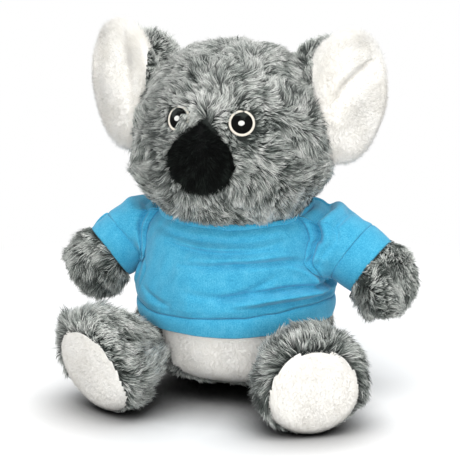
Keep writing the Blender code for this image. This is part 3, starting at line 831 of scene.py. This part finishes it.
def makeLeg(name, side):
    row = leg[name]
    # The leg's own Z runs outwards to the sole and its own -Y points down
    outward = Vector((side * math.sin(row["splay"]), -math.cos(row["splay"]), 0))
    upward = Vector((0, 0, 1))
    place = framed((upward.cross(outward), upward, outward), (*row["hip"], leg["middle"]), side)
    skin = ballForm("leg_skin_" + name, leg["rows"], 48, 40)
    points = meshPoints(skin.data)
    points[:, 2] += row["lean"] * points[:, 1] * limit(points[:, 2] / (18 * mm))
    setPoints(skin.data, points)
    skin.data.transform(place)
    points = meshPoints(skin.data)
    points[:, 2] = np.maximum(points[:, 2], leg["floor"])
    setPoints(skin.data, points)
    turn = place.to_3x3()
    soleMiddle = np.array(place.translation) + np.array(turn.col[2]) * leg["reach"]
    soleMiddle[2] = leg["soleHeight"] * mm
    outward = np.array((turn.col[2] - turn.col[1] * row["lean"]).normalized())

    def onSole(points):
        offset = (points - soleMiddle) * np.array(leg["soleStretch"])
        reach = offset @ outward
        across = np.linalg.norm(offset - reach[:, None] * outward, axis=1)
        return (across < row["sole"] * mm) & (reach > -leg["soleDepth"])

    def comb(points):  # turned outwards round the sole's rim
        offset = points - soleMiddle
        reach = offset @ outward
        radial = unit(offset - reach[:, None] * outward)
        rim = bell(reach + 0.001, 0.004)[:, None]
        return -outward * (1 - rim * 0.8) + radial * rim * 1.2 + np.array([0, 0, -0.15])

    def soleComb(points):
        return np.tile([0.1, 0, -1.0], (len(points), 1))

    def mask(points):
        x, y, z = points.T
        wide, deep = leg["inside"]
        return ~onSole(points) & ((x / wide) ** 2 + (y / deep) ** 2 >= 1) & (z > leg["pileFrom"])

    def length(points):
        return np.interp(points[:, 2], *leg["pressed"])

    dressSkin(skin, onSole)
    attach(skin, "leg_" + name)
    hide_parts("leg_" + name, "leg_filling_" + name)
    # painted shade and light: the same grey pile is toned darker on the toy's left leg and lighter on its right
    growPile("leg_pile_" + name, skin, "leg_" + name, leg["pile"], greyFinish, comb, mask, length,
             tone=lambda points: -0.01 - 0.09 * side, seed=41 + side)
    # painted shade: the soles' white pile is toned darker, the toy's left sole most
    growPile("sole_pile_" + name, skin, "leg_" + name, leg["solePile"], whiteFinish, soleComb, onSole,
             tone=lambda points: -0.15 - 0.15 * side, seed=45 + side)
    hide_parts("sole_" + name)


# Arms

arm = {
    # root, slope below the level, turn towards the front, cloth radius, reach of the cuff's seam and edge, how far
    # the cuff's front is drawn back, then the paw's thickness, its reach and how far it hangs, then the lengths to
    # which the flat sleeve and cuff are cut
    "left": {"root": (35.6, 0, 66.8), "slope": 33.5, "turn": 4, "radius": 13.2, "seam": 13.8, "edge": 23.5,
             "skew": 0.6, "size": 1.04, "reach": 0.94, "droop": 2.6, "cut": (21.0, 10.8)},
    "right": {"root": (34.0, 0, 67.2), "slope": 40, "turn": 15, "radius": 12.3, "seam": 13.9, "edge": 23.0,
              "skew": 2.6, "size": 1.0, "reach": 0.91, "droop": 0.6, "cut": (19.5, 10.5)},
    # distance along the arm, half width at the front, at the back and across
    "rows": (
        (-4.5, 0, 0, 0), (-3.5, 3.2, 3.2, 3.2), (0, 4.6, 4.6, 4.6), (8.0, 6.6, 6.6, 6.6), (16.0, 8.8, 8.8, 8.8),
        (23.5, 11.2, 11.0, 11.0), (31.0, 12.2, 12.0, 11.8), (37.0, 11.4, 11.2, 11.0), (41.0, 8.8, 8.6, 8.6),
        (43.0, 4.9, 4.8, 4.8), (43.6, 0, 0, 0),
    ),
    "hangs": (20, 14, 1.5),  # the paw hangs from here on, over this length, with this power
    "pile": {
        **longPile, "perSquareMm": 6.8, "length": 0.0045, "swirl": 0.8, "swirlSize": 0.02, "stray": 0.3,
        "patchSize": 0.008, "clumpStray": 0.0007,
    },
    # painted shade: the paws' grey pile is toned darker than the rest of the same pile
    "tone": -0.11,
}


def armFrame(name, side):
    # The arm's own Z runs outwards along it and its X points up
    slope, turn = math.radians(arm[name]["slope"]), math.radians(arm[name]["turn"])
    level = math.cos(slope)
    outward = Vector((side * level * math.cos(turn), -level * math.sin(turn), -math.sin(slope)))
    upward = outward.cross(Vector((0, side, 0))).normalized()
    return framed((upward, outward.cross(upward), outward), arm[name]["root"], side)


def makeArm(name, side):
    row = arm[name]
    place = armFrame(name, side)
    rows = [(reach * row["reach"], *(row["size"] * half for half in halves)) for reach, *halves in arm["rows"]]
    skin = ballForm("arm_skin_" + name, rows, 40, 36)
    points = meshPoints(skin.data)
    start, span, power = arm["hangs"]
    points[:, 0] -= row["droop"] * mm * limit((points[:, 2] / mm - start) / span) ** power
    setPoints(skin.data, points)
    skin.data.transform(place)
    dress(skin, skinFinish)
    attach(skin, "arm_" + name)
    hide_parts("arm_" + name, "arm_filling_" + name)
    axes, middle = axesOf(place)
    front, outward = axes[:, 1] * side, axes[:, 2]

    def mask(points):
        offset = points - middle
        drawn = row["skew"] * np.clip(offset @ front / (12 * mm), -1, 1)
        return offset @ outward > (row["edge"] - 0.3 - drawn) * mm

    def comb(points):
        offset = points - middle
        reach = offset @ outward
        radial = unit(offset - reach[:, None] * outward)
        return outward[None] + radial * 0.25 + np.array([0, 0, -0.15])

    growPile("arm_pile_" + name, skin, "arm_" + name, arm["pile"], greyFinish, comb, mask,
             tone=lambda points: arm["tone"], seed=51 + side)


# Shirt

shirt = {
    # share of the height from the hem's seam to the neck, half width and half depth
    "rings": (
        (0.00, 39.0, 33.9), (0.09, 39.5, 34.8), (0.20, 38.9, 34.6), (0.31, 37.8, 34.0), (0.42, 36.9, 33.4),
        (0.53, 36.4, 32.8), (0.64, 36.0, 32.1), (0.74, 35.3, 31.1), (0.84, 33.9, 29.5), (0.93, 31.9, 27.2),
        (1.00, 29.8, 25.0),
    ),
    # angle from the front towards the toy's left, and height of the neck, of the hem's seam and of the hem's edge
    "neck": ((-180, 77.2), (-90, 74.6), (-45, 71.8), (0, 71.2), (45, 72.2), (90, 75.4), (135, 76.8)),
    "seam": (
        (-180, 37.0), (-100, 37.2), (-60, 36.8), (-39, 35.8), (-16, 36.5), (16, 38.1), (34, 39.6), (54, 41.0),
        (76, 40.8), (100, 39.2), (140, 37.6),
    ),
    "bottom": (
        (-180, 29.8), (-90, 30.6), (-40, 30.0), (0, 30.0), (34, 31.0), (54, 32.3), (76, 32.6), (105, 31.2), (140, 30.0),
    ),
    # path as (angle, height), how far it stands out or in, its width
    "folds": (
        (((-50, 68.4), (-30, 66.9), (-9, 66.1), (22, 66.4), (46, 68.6)), -1.75, 1.3),
        (((-42, 66.2), (-9, 64.4), (20, 64.6), (44, 66.4)), 1.05, 1.2),
        (((-34, 64.6), (-20, 63.3), (0, 62.4), (18, 62.7), (38, 64.4)), -1.4, 1.15),
        (((-14, 59.8), (8, 60.6), (28, 61.9), (48, 61.9), (62, 59.6)), 1.5, 1.4),
        (((-20, 56.6), (2, 57.4), (24, 58.9), (46, 59.0), (60, 56.6)), -1.7, 1.2),
        (((-14, 46.9), (2, 45.6), (14, 46.8), (28, 50.6), (38, 53.6)), -1.35, 1.6),
        (((4, 45.0), (25, 47.6), (47, 48.6), (74, 47.6), (88, 46.4)), -2.7, 1.15),
        (((14, 43.6), (34, 45.6), (56, 46.3), (78, 45.4), (98, 44.2)), 2.3, 1.15),
        (((22, 42.2), (42, 43.2), (64, 43.5), (88, 42.6)), -1.6, 0.95),
        (((50, 57.5), (59, 54.5), (66, 50.5), (68, 46.8)), 2.6, 2.0),
        (((76, 58.0), (86, 53.0), (90, 48.8), (86, 45.8)), -2.79, 1.80),
        (((-62, 55.0), (-56, 50.8), (-58, 45.4), (-60, 41.0)), -1.5, 1.5),
        (((-74, 52.0), (-72, 47.0), (-76, 42.0)), 1.5, 1.7),
        (((-50, 44.5), (-38, 41.5), (-26, 40.2)), -1.1, 1.2),
        (((140, 68.5), (165, 66.0), (190, 65.5), (215, 67.5)), -1.24, 1.44),
        (((125, 60.0), (150, 57.0), (180, 56.2), (205, 57.4), (230, 60.5)), -1.40, 1.53),
        (((135, 52.5), (165, 50.8), (195, 51.6)), 1.08, 1.62),
        (((110, 50.0), (130, 47.0), (155, 45.0), (175, 44.6)), -1.55, 1.35),
        (((250, 50.0), (235, 47.0), (215, 45.4), (200, 45.0)), -1.24, 1.35),
    ),
    "height": 38,
    "girth": 0.64,  # millimetres for each degree round the body
    "power": 2.12,  # how square the shirt is, seen from above
    "thickness": {"body": 0.0008, "hem": 0.0009, "neck": 0.0002, "sleeve": 0.0007, "cuff": 0.0009},
    # the armhole as (angle round the arm from its top, angle round the body, height)
    "armhole": (
        (0, 90, 99), (36, 66, 99), (58, 68, 69.2), (82, 65, 64.4), (112, 60, 58.0), (146, 68, 52.2), (180, 90, 50.2),
    ),
}


def ringValue(stops, angle):
    # A smooth value round a ring, from stops of an angle in degrees and a value
    angles, values = np.array(sorted(stops), float).T
    angles = np.concatenate([[angles[-1] - 360], angles, [angles[0] + 360]])
    values = np.concatenate([values[-1:], values, values[:1]])
    angle = (np.asarray(angle) - angles[1]) % 360 + angles[1]
    low = np.clip(np.searchsorted(angles, angle, "right") - 1, 0, len(angles) - 2)
    share = (angle - angles[low]) / (angles[low + 1] - angles[low])
    share = share * share * (3 - 2 * share)
    return values[low] + (values[low + 1] - values[low]) * share


def foldRelief(spots, folds):
    # How far the cloth stands out at flat spots, in millimetres, from folds along paths
    total = np.zeros(len(spots))
    for path, height, width in folds:
        path = np.array(path, float)
        steps = np.linspace(0, len(path) - 1, len(path) * 6)
        low = np.minimum(steps.astype(int), len(path) - 2)
        ends = np.vstack([2 * path[0] - path[1], path, 2 * path[-1] - path[-2]])
        fine = between(ends, low, steps - low)
        best = np.full(len(spots), 1e9)
        reach = np.zeros(len(spots))
        for index, (start, end) in enumerate(zip(fine, fine[1:])):
            way = end - start
            share = limit((spots - start) @ way / max(way @ way, 1e-9))
            gap = np.linalg.norm(spots - start - share[:, None] * way, axis=1)
            nearer = gap < best
            best[nearer] = gap[nearer]
            reach[nearer] = (index + share[nearer]) / (len(fine) - 1)
        taper = limit(np.sin(math.pi * (0.06 + 0.88 * reach))) ** 0.7
        total += height * taper * bell(best, width)
    return total


def bodyCloth(angle, share, relief=True):
    # The shirt's outer surface round the body, in millimetres, and the way that it faces
    rings = np.array(shirt["rings"])
    width, depth = (np.interp(share, rings[:, 0], rings[:, column]) for column in (1, 2))
    low, high = ringValue(shirt["seam"], angle), ringValue(shirt["neck"], angle)
    height = low + (high - low) * share
    turn = np.radians(angle)
    side, front = (np.sign(way) * np.abs(way) ** (2 / shirt["power"]) for way in (np.sin(turn), -np.cos(turn)))
    way = unit(np.stack([side / width, front / depth, 0 * height], 1))
    points = np.stack([side * width, front * depth, height], 1)
    if relief:
        girth = shirt["girth"]
        folds = [([(a * girth, h) for a, h in path], rise, wide) for path, rise, wide in shirt["folds"]]
        total = 0
        for shift in (-360, 0, 360):
            spots = np.stack([(((angle + 180) % 360 - 180) + shift) * girth, height], 1)
            total = total + foldRelief(spots, folds)
        total += 0.35 * wave(points * mm, 0.022, 71) + 0.12 * wave(points * mm, 0.008, 72)
        fromSeam = share * shirt["height"]
        points = points + way * (total * (1 - bell(fromSeam, 1.6)))[:, None]
        points = points - way * (0.65 * bell(fromSeam, 0.5))[:, None]  # the cloth turns in at the seam
    return points, way


def clothGrid(name, columns, rows, shape, size, thickness, flip=False):
    # A flat grid wrapped into a tube. Its map holds metres of cloth.
    bpy.ops.mesh.primitive_grid_add(x_subdivisions=columns, y_subdivisions=rows, size=1)
    obj = bpy.context.object
    obj.name = name
    flat = meshPoints(obj.data)[:, :2] + 0.5
    setPoints(obj.data, shape(flat[:, 0], flat[:, 1]) * mm)
    layer = obj.data.uv_layers[0]
    layer.name = "cloth"
    spots = valuesOf(layer.uv, "vector", 2) * np.array(size)
    layer.uv.foreach_set("vector", spots.astype(np.float32).ravel())
    makeActive(obj)
    bpy.ops.object.mode_set(mode="EDIT")
    bpy.ops.mesh.select_all(action="SELECT")
    bpy.ops.mesh.remove_doubles(threshold=0.00001)
    if flip:
        bpy.ops.mesh.flip_normals()
    bpy.ops.object.mode_set(mode="OBJECT")
    wall = obj.modifiers.new("Thickness", "SOLIDIFY")
    wall.thickness = shirt["thickness"][thickness]
    wall.offset = -1
    applyModifiers(obj)
    bpy.ops.object.shade_smooth()
    dress(obj, jerseyFinish)
    return obj


def edgeTurn(share, start):
    # How far a band has risen, and how far its edge has turned in beyond the start
    return np.minimum(share / start, 1), limit((share - start) / (1 - start))


def makeShirtBody():
    def shape(u, v):
        return bodyCloth(u * 360 - 180, v)[0]

    def hemShape(u, v):
        angle = u * 360 - 180
        ring, way = bodyCloth(angle, np.zeros(len(u)), False)
        rise, turn = edgeTurn(v, 0.86)
        ring[:, 2] += 0.25
        height = ring[:, 2] * (1 - rise) + ringValue(shirt["bottom"], angle) * rise
        swell = 0.75 * np.sin(math.pi * rise**0.8) - 0.7 * rise
        swell += -0.6 * bell(v * 9, 0.45) + 0.2 * wave(ring * mm + v[:, None] * 0.004, 0.016, 75)
        swell -= 1.5 * np.sin(turn * math.pi / 2)
        points = ring + way * swell[:, None]
        points[:, 2] = height - 0.405 * np.sin(turn * math.pi)
        return points

    def neckShape(u, v):
        ring, way = bodyCloth(u * 360 - 180, np.full(len(u), 1.0), False)
        turn = v * math.tau
        ring[:, 2] += 0.3 + 1.35 * np.sin(turn)
        return ring + way * (0.2 + 0.75 * np.cos(turn))[:, None]

    cloth = clothGrid("shirt_body", 330, 92, shape, (0.235, 0.037), "body")
    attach(cloth, "torso")
    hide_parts("shirt_front", "shirt_back")
    hem = clothGrid("shirt_hem", 330, 24, hemShape, (0.235, 0.009), "hem", flip=True)
    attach(hem, "torso")
    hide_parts("hem_band")
    neck = clothGrid("shirt_neck", 240, 14, neckShape, (0.170, 0.007), "neck")
    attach(neck, "torso")
    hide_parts("neckband")


def armholeLoop(side, turn):
    # Points on the shirt where the sleeve is sewn on, for angles round the arm in degrees
    stops = np.array(shirt["armhole"], float)
    back = stops[1:-1][::-1] * [-1, -1, 1] + [360, 180, 0]
    ring = np.vstack([stops, back])
    ring = np.vstack([ring[-2:] - [360, 0, 0], ring, ring[:3] + [360, 0, 0]])
    low = np.clip(np.searchsorted(ring[:, 0], turn, "right") - 1, 1, len(ring) - 3)
    part = (turn - ring[low, 0]) / (ring[low + 1, 0] - ring[low, 0])
    around, height = between(ring[:, 1:], low - 1, part).T
    angle = side * around
    seam, neck = ringValue(shirt["seam"], angle), ringValue(shirt["neck"], angle)
    return bodyCloth(angle, limit((height - seam) / (neck - seam)))


sleeveFolds = {
    "perDegree": 0.22,
    "length": 20,
    # path as (angle round the arm from its top times perDegree, share of the sleeve times length), height and width
    "left": (
        (((-16, 4.6), (-6, 4.4), (2, 4.5), (8, 4.6), (13, 4.0), (18, 3.0), (24, 2.6), (31, 3.2)), -4.2, 1.6),
        (((-12, 8.4), (-2, 7.8), (8, 8.0), (18, 7.6)), 1.8, 2.2),
        (((-5, 10.8), (3, 11.4), (9, 11.6), (14, 12.4)), -1.7, 1.2),
        (((0, 2.2), (8, 2.6), (14, 3.0)), -0.7, 0.8),
        (((16, 2.6), (24, 3.0), (31, 4.2)), -1.8, 1.5),
        (((14, 12.0), (22, 9.0), (30, 6.0)), -0.8, 1.8),
        (((-30, 7.0), (-20, 9.0), (-10, 13.0)), -0.7, 1.8),
    ),
    "right": (
        (((-8, 4.0), (2, 4.4), (12, 4.8), (22, 5.6), (32, 8.0)), -2.3, 1.3),
        (((-10, 9.0), (2, 9.6), (12, 10.4)), 1.5, 2.6),
        (((0, 1.8), (10, 2.4), (22, 3.2)), 1.0, 1.2),
        (((-30, 7.0), (-20, 9.0), (-10, 13.0)), -0.7, 1.8),
    ),
}


def makeSleeve(name, side):
    row = arm[name]
    axes, root = axesOf(armFrame(name, side))
    root = root / mm
    upward, front, outward = axes[:, 0], axes[:, 1] * side, axes[:, 2]
    girth = row["radius"] * math.tau * mm
    sleeveLength, cuffLength = (length * mm for length in row["cut"])

    def ringAt(turn, reach, radius):
        around = np.radians(turn)
        reach = reach - row["skew"] * np.sin(around)
        return root + outward * reach[:, None] + radius[:, None] * turned(upward, front, around)

    def roundness(turn):  # the cloth isn't quite round
        return row["radius"] * (1 + 0.02 * np.sin(np.radians(turn * 2 + 40)) + 0.015 * np.sin(np.radians(turn * 3)))

    def shape(u, v):
        turn = u * 360
        start, way = armholeLoop(side, turn)
        end = ringAt(turn, row["seam"], roundness(turn))
        span = np.linalg.norm(end - start, axis=1)[:, None]
        upper = limit(np.cos(np.radians(turn)))[:, None]
        leave = unit(way * 0.9 + outward * 0.55 + upward * 0.55 * upper) * span * 1.25
        points = hermite(start, leave, end, outward * span * 0.9, v[:, None])
        middle = root + outward * (row["seam"] * v[:, None])
        length = sleeveFolds["length"]
        spots = np.stack([((turn + 180) % 360 - 180) * sleeveFolds["perDegree"], v * length], 1)
        lift = foldRelief(spots, sleeveFolds[name]) + 0.22 * wave(points * mm, 0.012, 81 + side)
        lift = lift * (1 - bell(v, 0.1)) * (1 - bell(1 - v, 0.08))
        lift -= 0.7 * bell(v * length, 0.45) + 0.45 * bell((1 - v) * length, 0.45)  # drawn in at the seams
        return points + unit(points - middle) * lift[:, None]

    def cuffShape(u, v):
        turn = u * 360
        rise, roll = edgeTurn(v, 0.88)
        reach = row["seam"] - 0.3 + (row["edge"] - row["seam"]) * rise + 0.4 * np.sin(roll * math.pi)
        radius = roundness(turn) + 0.35 * np.sin(math.pi * rise) - 0.45 * rise
        radius += 0.25 * wave(np.stack([turn * 0.0002, rise * 0.01, 0 * rise], 1), 0.018, 85 + side)
        radius -= 0.45 * bell(rise * 10, 0.45) + 1.3 * np.sin(roll * math.pi / 2)
        return ringAt(turn, reach, radius)

    sleeve = clothGrid("sleeve_cloth_" + name, 200, 54, shape, (girth, sleeveLength), "sleeve", flip=side < 0)
    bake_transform(sleeve)
    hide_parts("sleeve_" + name)
    cuff = clothGrid("cuff_cloth_" + name, 180, 32, cuffShape, (girth, cuffLength), "cuff", flip=side < 0)
    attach(cuff, "arm_" + name)
    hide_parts("cuff_" + name)


def makeJerseyFinish():
    finish = Finish("blue_jersey", {"Roughness": 0.85, "Sheen Weight": 0.15, "Specular IOR Level": 0.2}, "jersey")
    place = finish.node("ShaderNodeUVMap", {"uv_map": "cloth"})
    split = finish.node("ShaderNodeSeparateXYZ", None, {0: place})
    stitchWidth, stitchHeight = 0.00055, 0.00045
    column = finish.maths("FRACT", split * (1 / stitchWidth))
    slant = finish.maths("ABSOLUTE", column - 0.5)
    stitch = finish.maths("SINE", (split.other(1) * (1 / stitchHeight) + slant) * math.tau)
    knit = stitch * 0.5 + finish.maths("SINE", column * math.pi)
    fluff = finish.noise(2200, 3)
    share = knit * 0.1 + fluff * 0.75 + finish.noise(260, 4) * 0.35
    colour = finish.ramp(share, (0.3, srgb(34, 131, 172)), (0.6, srgb(60, 160, 197)), (0.95, srgb(102, 188, 216)))
    finish.feed("Base Color", colour)
    finish.bump(knit + fluff * 0.8, 0.35, 0.00012)
    return finish


# Ears

ear = {
    # middle and half sizes across, through and up, in millimetres, and the creases of the white pile
    "left": {
        "middle": (43.4, -1.8, 119.6), "halves": (15.4, 6.0, 25.2),
        "folds": (
            (((8.6, 16.5), (3.5, 11.0), (-1.5, 4.5), (-5.0, -3.0)), -1.9, 1.7),
            (((11.0, 10.0), (4.0, 1.0), (0, -8)), 1.3, 4.0),
        ),
    },
    "right": {
        "middle": (44.4, -1.8, 120.0), "halves": (16.2, 6.0, 24.6),
        "folds": (
            (((-3.0, 17.0), (-4.5, 8.0), (-4.0, -2.0), (-1.5, -11.0)), -1.2, 2.6),
            (((6.0, 10.0), (7.0, 0.0), (5.0, -10.0)), 0.9, 4.0),
        ),
    },
    "turn": math.radians(22),
    "tilt": math.radians(7),
    "lobe": {"middle": (32.5, 1.5, 121.5), "halves": (13.0, 4.4, 19.0), "turn": 0.4, "tilt": math.radians(16)},
    "voxel": 0.0007,
    "white": (2.0, 14.2, 25.8),  # the white pile's middle across, half width and half height
    "power": 2.4,  # of its outline
    "hollow": 3.0,
    "greyPile": {
        **longPile, "perSquareMm": 6, "length": 0.0038, "lie": 1.12, "lieStray": 0.15, "bent": 0.3,
        "patchSize": 0.008,
    },
    "whitePile": {
        **shortPile, "perSquareMm": 16, "length": 0.0029, "lie": 0.85, "lieStray": 0.25, "swirl": 0.5, "stray": 0.6,
        "patchSize": 0.014, "uneven": 0.1, "clumpShare": 0.04, "clumpStray": 0.0003, "gather": 0.1, "clumpTone": 0.03,
    },
}


def makeEar(name, side):
    row, lobe = ear[name], ear["lobe"]
    parts = (row, ear["turn"], ear["tilt"]), (lobe, ear["turn"] * lobe["turn"], lobe["tilt"])
    places, balls = [], []
    for part, turn, tilt in parts:
        place = framed(Matrix.Identity(3), part["middle"], side)
        place = place @ Matrix.Rotation(side * turn, 4, "Z") @ Matrix.Rotation(side * tilt, 4, "Y")
        bpy.ops.mesh.primitive_uv_sphere_add(segments=48, ring_count=32, radius=mm)
        bpy.context.object.data.transform(place @ Matrix.Diagonal((*part["halves"], 1)))
        places.append(place)
        balls.append(bpy.context.object)
    makeActive(balls[0])
    balls[1].select_set(True)
    bpy.ops.object.join()
    skin = bpy.context.object
    skin.name = "ear_skin_" + name
    rounded(skin, ear["voxel"], 8)
    axes, origin = axesOf(places[0])
    across, depth, height = row["halves"]

    def inEar(points):  # millimetres across outwards, through and up
        return (points - origin) @ axes / mm * np.array([side, 1, 1])

    def whiteShare(points):  # 1 well inside the white pile and below 0 outside it
        x, y, z = inEar(points).T
        shift, wide, high = ear["white"]
        offset = x - shift
        wide = np.where(offset < 0, wide + 5 * limit(z / 25), wide + 4)
        power = ear["power"]
        reach = (np.abs(offset / wide) ** power + np.abs(z / high) ** power) ** (1 / power)
        # the white pile rolls over the outer edge and the top
        return np.where(y < 1.0 + 1.6 * ((x > 4) | (z > 12)), 1 - reach, -1)

    def white(points):
        return whiteShare(points) > 0

    def grey(points):
        return ~white(points)

    def comb(points):
        x, y, z = inEar(points).T
        return unit(np.stack([side * (x + 2), 0 * y, z * 0.7 + 6], 1)) @ axes.T

    def length(points):
        return 0.55 + 0.45 * limit(1 - np.abs(whiteShare(points) - 0.12) * 5)

    def greyLength(points):  # shorter where it meets the white pile
        return 0.45 + 0.55 * limit(np.abs(whiteShare(points)) * 4) * (inEar(points)[:, 2] < 22)

    points = meshPoints(skin.data)
    spot = inEar(points)
    x, y, z = spot.T
    inside = limit(1 - (x / across) ** 2 - (z / height) ** 2)
    creases = foldRelief(spot[:, [0, 2]], row["folds"]) * limit(inside * 3)
    push = (inside * ear["hollow"] - creases) * limit(-y / depth * 2)
    setPoints(skin.data, points + push[:, None] * axes[:, 1] * mm)
    bpy.ops.object.shade_smooth()
    dressSkin(skin, lambda points: whiteShare(points) > -0.02)
    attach(skin, "ear_" + name)
    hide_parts("ear_back_" + name, "ear_front_" + name)
    growPile("ear_pile_" + name, skin, "ear_" + name, ear["whitePile"], whiteFinish, comb, white, length,
             seed=61 + side)
    growPile("ear_back_pile_" + name, skin, "ear_" + name, ear["greyPile"], greyFinish, comb, grey, greyLength,
             seed=65 + side)


# Eyes, in millimetres

eye = {
    "shift": {"left": (0.1, 0, -1.6), "right": (1.0, -0.2, -1.2)},  # from the solid's place
    "radius": 4.45,
    "dome": 0.7,
    "fill": (0.35, 0.34, 1.5, 0.35, 0.2108),  # margin inside the ring, row pitch, stitch length, shift and thickness
    "ring": (0.95, 84, 0.05, 0.12, 0.2025),  # stitch length, count, slant, height and thickness
    "glint": (-0.25, -0.15, 1.12, 7, 0.22, 0.21),  # across, up, radius, rows, height and thickness
}


def stitchBars(name, bars, radius, finish):
    # Short rounded threads, each between two points
    bm = bmesh.new()
    for start, end in bars:
        way = end - start
        place = Matrix.Translation((start + end) / 2) @ way.to_track_quat("Z", "Y").to_matrix().to_4x4()
        for vertex in bmesh.ops.create_uvsphere(bm, u_segments=6, v_segments=6, radius=1)["verts"]:
            x, y, z = vertex.co
            stretch = math.copysign(abs(z) ** 0.45, z) if z else 0
            around = math.hypot(x, y)
            scale = (max(0, 1 - stretch**4) ** 0.5 / around) if around > 1e-6 else 0
            vertex.co = place @ Vector((x * scale * radius, y * scale * radius, stretch * way.length / 2))
    mesh = bpy.data.meshes.new(name)
    bm.to_mesh(mesh)
    bm.free()
    obj = addMesh(name, mesh)
    dress(obj, finish)
    return obj


def makeEye(name):
    points = meshPoints(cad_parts["eye_black_" + name].data)
    centre = (points.max(0) + points.min(0)) / 2 + np.array(eye["shift"][name]) * mm
    normal = np.linalg.svd(points - points.mean(0))[2][2]
    facing = Vector(normal * -np.sign(normal[1]))
    upward = (Vector((0, 0, 1)) - facing * facing.z).normalized()
    across = upward.cross(facing)
    radius = eye["radius"]

    def onEye(x, y, lift=0.0):  # a point of the domed patch
        rise = eye["dome"] * (1 - (x * x + y * y) / radius**2) + lift
        return Vector(centre) + (across * x + upward * y + facing * rise) * mm

    margin, pitch, stitch, shift, thick = eye["fill"]
    inner = radius - margin
    bars = []
    for index in range(int(2 * inner / pitch) + 1):
        y = -inner + (index + 0.5) * pitch
        if abs(y) >= inner:
            continue
        half = math.sqrt(inner**2 - y**2)
        pieces = max(1, int(half / stitch))
        aside = shift * (index % 3 - 1)  # so that the stitches' ends don't line up from row to row
        stops = [-half + 2 * half * step / pieces + aside * (0 < step < pieces) for step in range(pieces + 1)]
        bars += [(onEye(first, y), onEye(second, y)) for first, second in zip(stops, stops[1:])]
    fill = stitchBars("eye_fill_" + name, bars, thick * mm, blackThreadFinish)
    length, count, slant, lift, thick = eye["ring"]
    ends = ((radius - length / 2, 0), (radius + length / 2, slant))
    turns = [math.tau * index / count for index in range(count)]
    bars = [[onEye(reach * math.cos(turn + more), reach * math.sin(turn + more), lift) for reach, more in ends]
            for turn in turns]
    ring = stitchBars("eye_ring_thread_" + name, bars, thick * mm, creamThreadFinish)
    right, up, spot, rows, lift, thick = eye["glint"]
    bars = []
    for index in range(rows):
        x = -spot + (index + 0.5) * 2 * spot / rows
        half = math.sqrt(max(spot**2 - x**2, 0)) * 0.95
        bars.append((onEye(right + x, up - half, lift), onEye(right + x + 0.1, up + half, lift)))
    glint = stitchBars("eye_glint_thread_" + name, bars, thick * mm, whiteThreadFinish)
    for piece, node in ((fill, "eye_black_"), (ring, "eye_ring_"), (glint, "eye_glint_")):
        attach(piece, "head")
        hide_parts(node + name)
    return centre


addCamera()
addStudio()
print("camera and studio")
greyFinish = makeFurFinish("frosted_grey_pile", greyFur, "grey_plush")
whiteFinish = makeFurFinish("white_pile", whiteFur, "white_pile")
noseFinish = makeFurFinish("black_pile", nose["black"], "black_plush")
jerseyFinish = makeJerseyFinish()
blackThreadFinish = makeGrainFinish("black_thread", srgb(5, 6, 6), "black_thread", {**thread, "rough": 0.9})
creamThreadFinish = makeGrainFinish("cream_thread", srgb(232, 226, 214), "white_thread", thread)
whiteThreadFinish = makeGrainFinish("white_thread", srgb(226, 227, 223), "white_thread", thread)
skinFinish = makeGrainFinish("grey_backing", srgb(46, 50, 48), "grey_plush", backing)
whiteSkinFinish = makeGrainFinish("white_backing", srgb(248, 246, 241), "white_pile", backing)
print("finishes")
eyeMiddles = [makeEye(name) for name, side in sides]
print("eyes")
makeHead()
print("head")
makeNose()
print("nose")
makeBody()
print("body")
makeShirtBody()
print("shirt")
for name, side in sides:
    makeLeg(name, side)
    makeArm(name, side)
    makeSleeve(name, side)
    makeEar(name, side)
    print("leg, arm, sleeve and ear on the", name)
